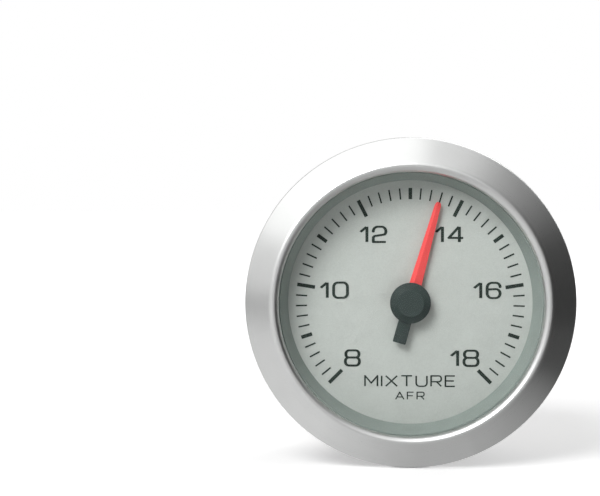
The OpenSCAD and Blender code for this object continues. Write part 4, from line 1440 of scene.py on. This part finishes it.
class GAUGE_OT_bracket(Operator):
    """Bends the clamp bracket, with rounded edges and two holes for the studs"""

    bl_idname = "gauge.bracket"
    bl_label = "Clamp Bracket"

    def execute(self, context):
        sizes = context.scene.gauge_fastening
        low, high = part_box("clamp_bracket")
        thick = sizes.bracket_t
        outer_bend = sizes.bend_r + thick
        outline = rounded([
            (low.x, low.y, 0.0),
            (low.x, high.y, outer_bend),
            (high.x, high.y, outer_bend),
            (high.x, low.y, 0.0),
            (high.x - thick, low.y, 0.0),
            (high.x - thick, high.y - thick, sizes.bend_r),
            (low.x + thick, high.y - thick, sizes.bend_r),
            (low.x + thick, low.y, 0.0),
        ], steps=12)
        strip = plate("bracket", [outline], low.z, high.z, sizes.bracket_round)
        strip.data.transform(Matrix.Rotation(-math.pi / 2, 4, "X"))
        for x in (-stud_place(sizes), stud_place(sizes)):
            strip = drilled(
                strip, "zinc_plate", sizes.bracket_hole_r, high.y - 2 * thick, high.y + thick, x
            )
        seat(strip, CLAMP, "zinc_plate", "clamp_bracket")
        return {"FINISHED"}


class GAUGE_OT_nuts(Operator):
    """Turns the two knurled thumb nuts"""

    bl_idname = "gauge.nuts"
    bl_label = "Thumb Nuts"

    def execute(self, context):
        sizes = context.scene.gauge_fastening
        small = 0.2 * MM
        for side in ("left", "right"):
            node = "thumb_nut_" + side
            low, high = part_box(node)
            outer = (high.x - low.x) / 2
            collar = low.y + sizes.collar_t
            section = rounded([
                (sizes.nut_bore_r, low.y, small),
                (sizes.collar_r, low.y, small),
                (sizes.collar_r, collar, 0.0),
                (outer, collar, sizes.knurl_round),
                (outer, high.y, sizes.knurl_round),
                (sizes.nut_bore_r + small, high.y, small),
                (sizes.nut_bore_r, high.y - 2 * small, 0.0),
            ], steps=6)
            nut = turned(
                "nut_" + side, "nut_brass", section, steps=8 * sizes.ridges, ridges=sizes.ridges,
                ridge_depth=sizes.knurl_depth, ridge_pitch=STRAIGHT, ridge_radius=sizes.collar_r + small,
                place=((low.x + high.x) / 2, 0.0, 0.0),
            )
            seat(nut, "nut_" + side, "nut_brass", node)
        return {"FINISHED"}


class GAUGE_OT_washers(Operator):
    """Bends the two split washers"""

    bl_idname = "gauge.washers"
    bl_label = "Lock Washers"

    def execute(self, context):
        sizes = context.scene.gauge_fastening
        low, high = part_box("lock_washers")
        outer = (high.z - low.z) / 2
        round_r = sizes.washer_round
        section = ring_section(sizes.washer_bore_r, outer, low.y, high.y, round_r, round_r, steps=3)
        steps = 64
        washers = []
        for name, x in (("washers", low.x + outer), ("washer_right", high.x - outer)):
            rings = []
            for i in range(steps + 1):
                turn = math.pi / 2 + sizes.split / 2 + (math.tau - sizes.split) * i / steps
                rings.append([(x + r * math.cos(turn), y, r * math.sin(turn)) for r, y in section])
            washers.append(lofted(name, rings))
        seat(joined(washers), CLAMP, "zinc_plate", "lock_washers")
        return {"FINISHED"}


class GAUGE_OT_pins(Operator):
    """Makes the connector pins, with bevelled edges and tips"""

    bl_idname = "gauge.pins"
    bl_label = "Connector Pins"

    def execute(self, context):
        sizes = context.scene.gauge_fastening
        low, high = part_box("socket_pins")
        columns = round((high.x - low.x - sizes.pin_w) / sizes.pin_pitch) + 1
        rows = round((high.z - low.z - sizes.pin_w) / sizes.pin_pitch) + 1
        pins = []
        for column in range(columns):
            for row in range(rows):
                corner = Vector((low.x + column * sizes.pin_pitch, low.y, low.z + row * sizes.pin_pitch))
                far = corner + Vector((sizes.pin_w, high.y - low.y, sizes.pin_w))
                pins.append(block("pins", corner, far, sizes.pin_bevel, segments=2))
        seat(joined(pins), HOUSING, "pin_brass", "socket_pins")
        return {"FINISHED"}


class GAUGE_OT_insides(Operator):
    """Gives the nodes of the frame that stay their finishes"""

    bl_idname = "gauge.insides"
    bl_label = "Insides"

    def execute(self, context):
        slots = {part["node"]: part["material_slot"] for part in frame["record"]["subparts"]}
        for node in KEPT_NODES:
            dress(node, slots[node])
        return {"FINISHED"}


class GAUGE_PT_panel(Panel):
    """Lists the pieces of the gauge"""

    bl_idname = "GAUGE_PT_panel"
    bl_label = "Round Panel Gauge"
    bl_space_type = "VIEW_3D"
    bl_region_type = "UI"
    bl_category = "Gauge"

    def draw(self, context):
        for operator in OPERATORS:
            self.layout.operator(operator.bl_idname)


OPERATORS = (
    GAUGE_OT_stage,
    GAUGE_OT_bezel,
    GAUGE_OT_visor,
    GAUGE_OT_lens,
    GAUGE_OT_dial,
    GAUGE_OT_pointer,
    GAUGE_OT_studs,
    GAUGE_OT_bracket,
    GAUGE_OT_nuts,
    GAUGE_OT_washers,
    GAUGE_OT_pins,
    GAUGE_OT_insides,
)


def register():
    for kind in (*SIZE_GROUPS.values(), *OPERATORS, GAUGE_PT_panel):
        bpy.utils.register_class(kind)
    for name, kind in SIZE_GROUPS.items():
        setattr(bpy.types.Scene, name, PointerProperty(type=kind))


def unregister():
    for name in SIZE_GROUPS:
        delattr(bpy.types.Scene, name)
    for kind in (GAUGE_PT_panel, *reversed(OPERATORS), *SIZE_GROUPS.values()):
        bpy.utils.unregister_class(kind)


def main():
    register()
    for operator in OPERATORS:
        group, name = operator.bl_idname.split(".")
        getattr(getattr(bpy.ops, group), name)()


if __name__ == "__main__":
    main()
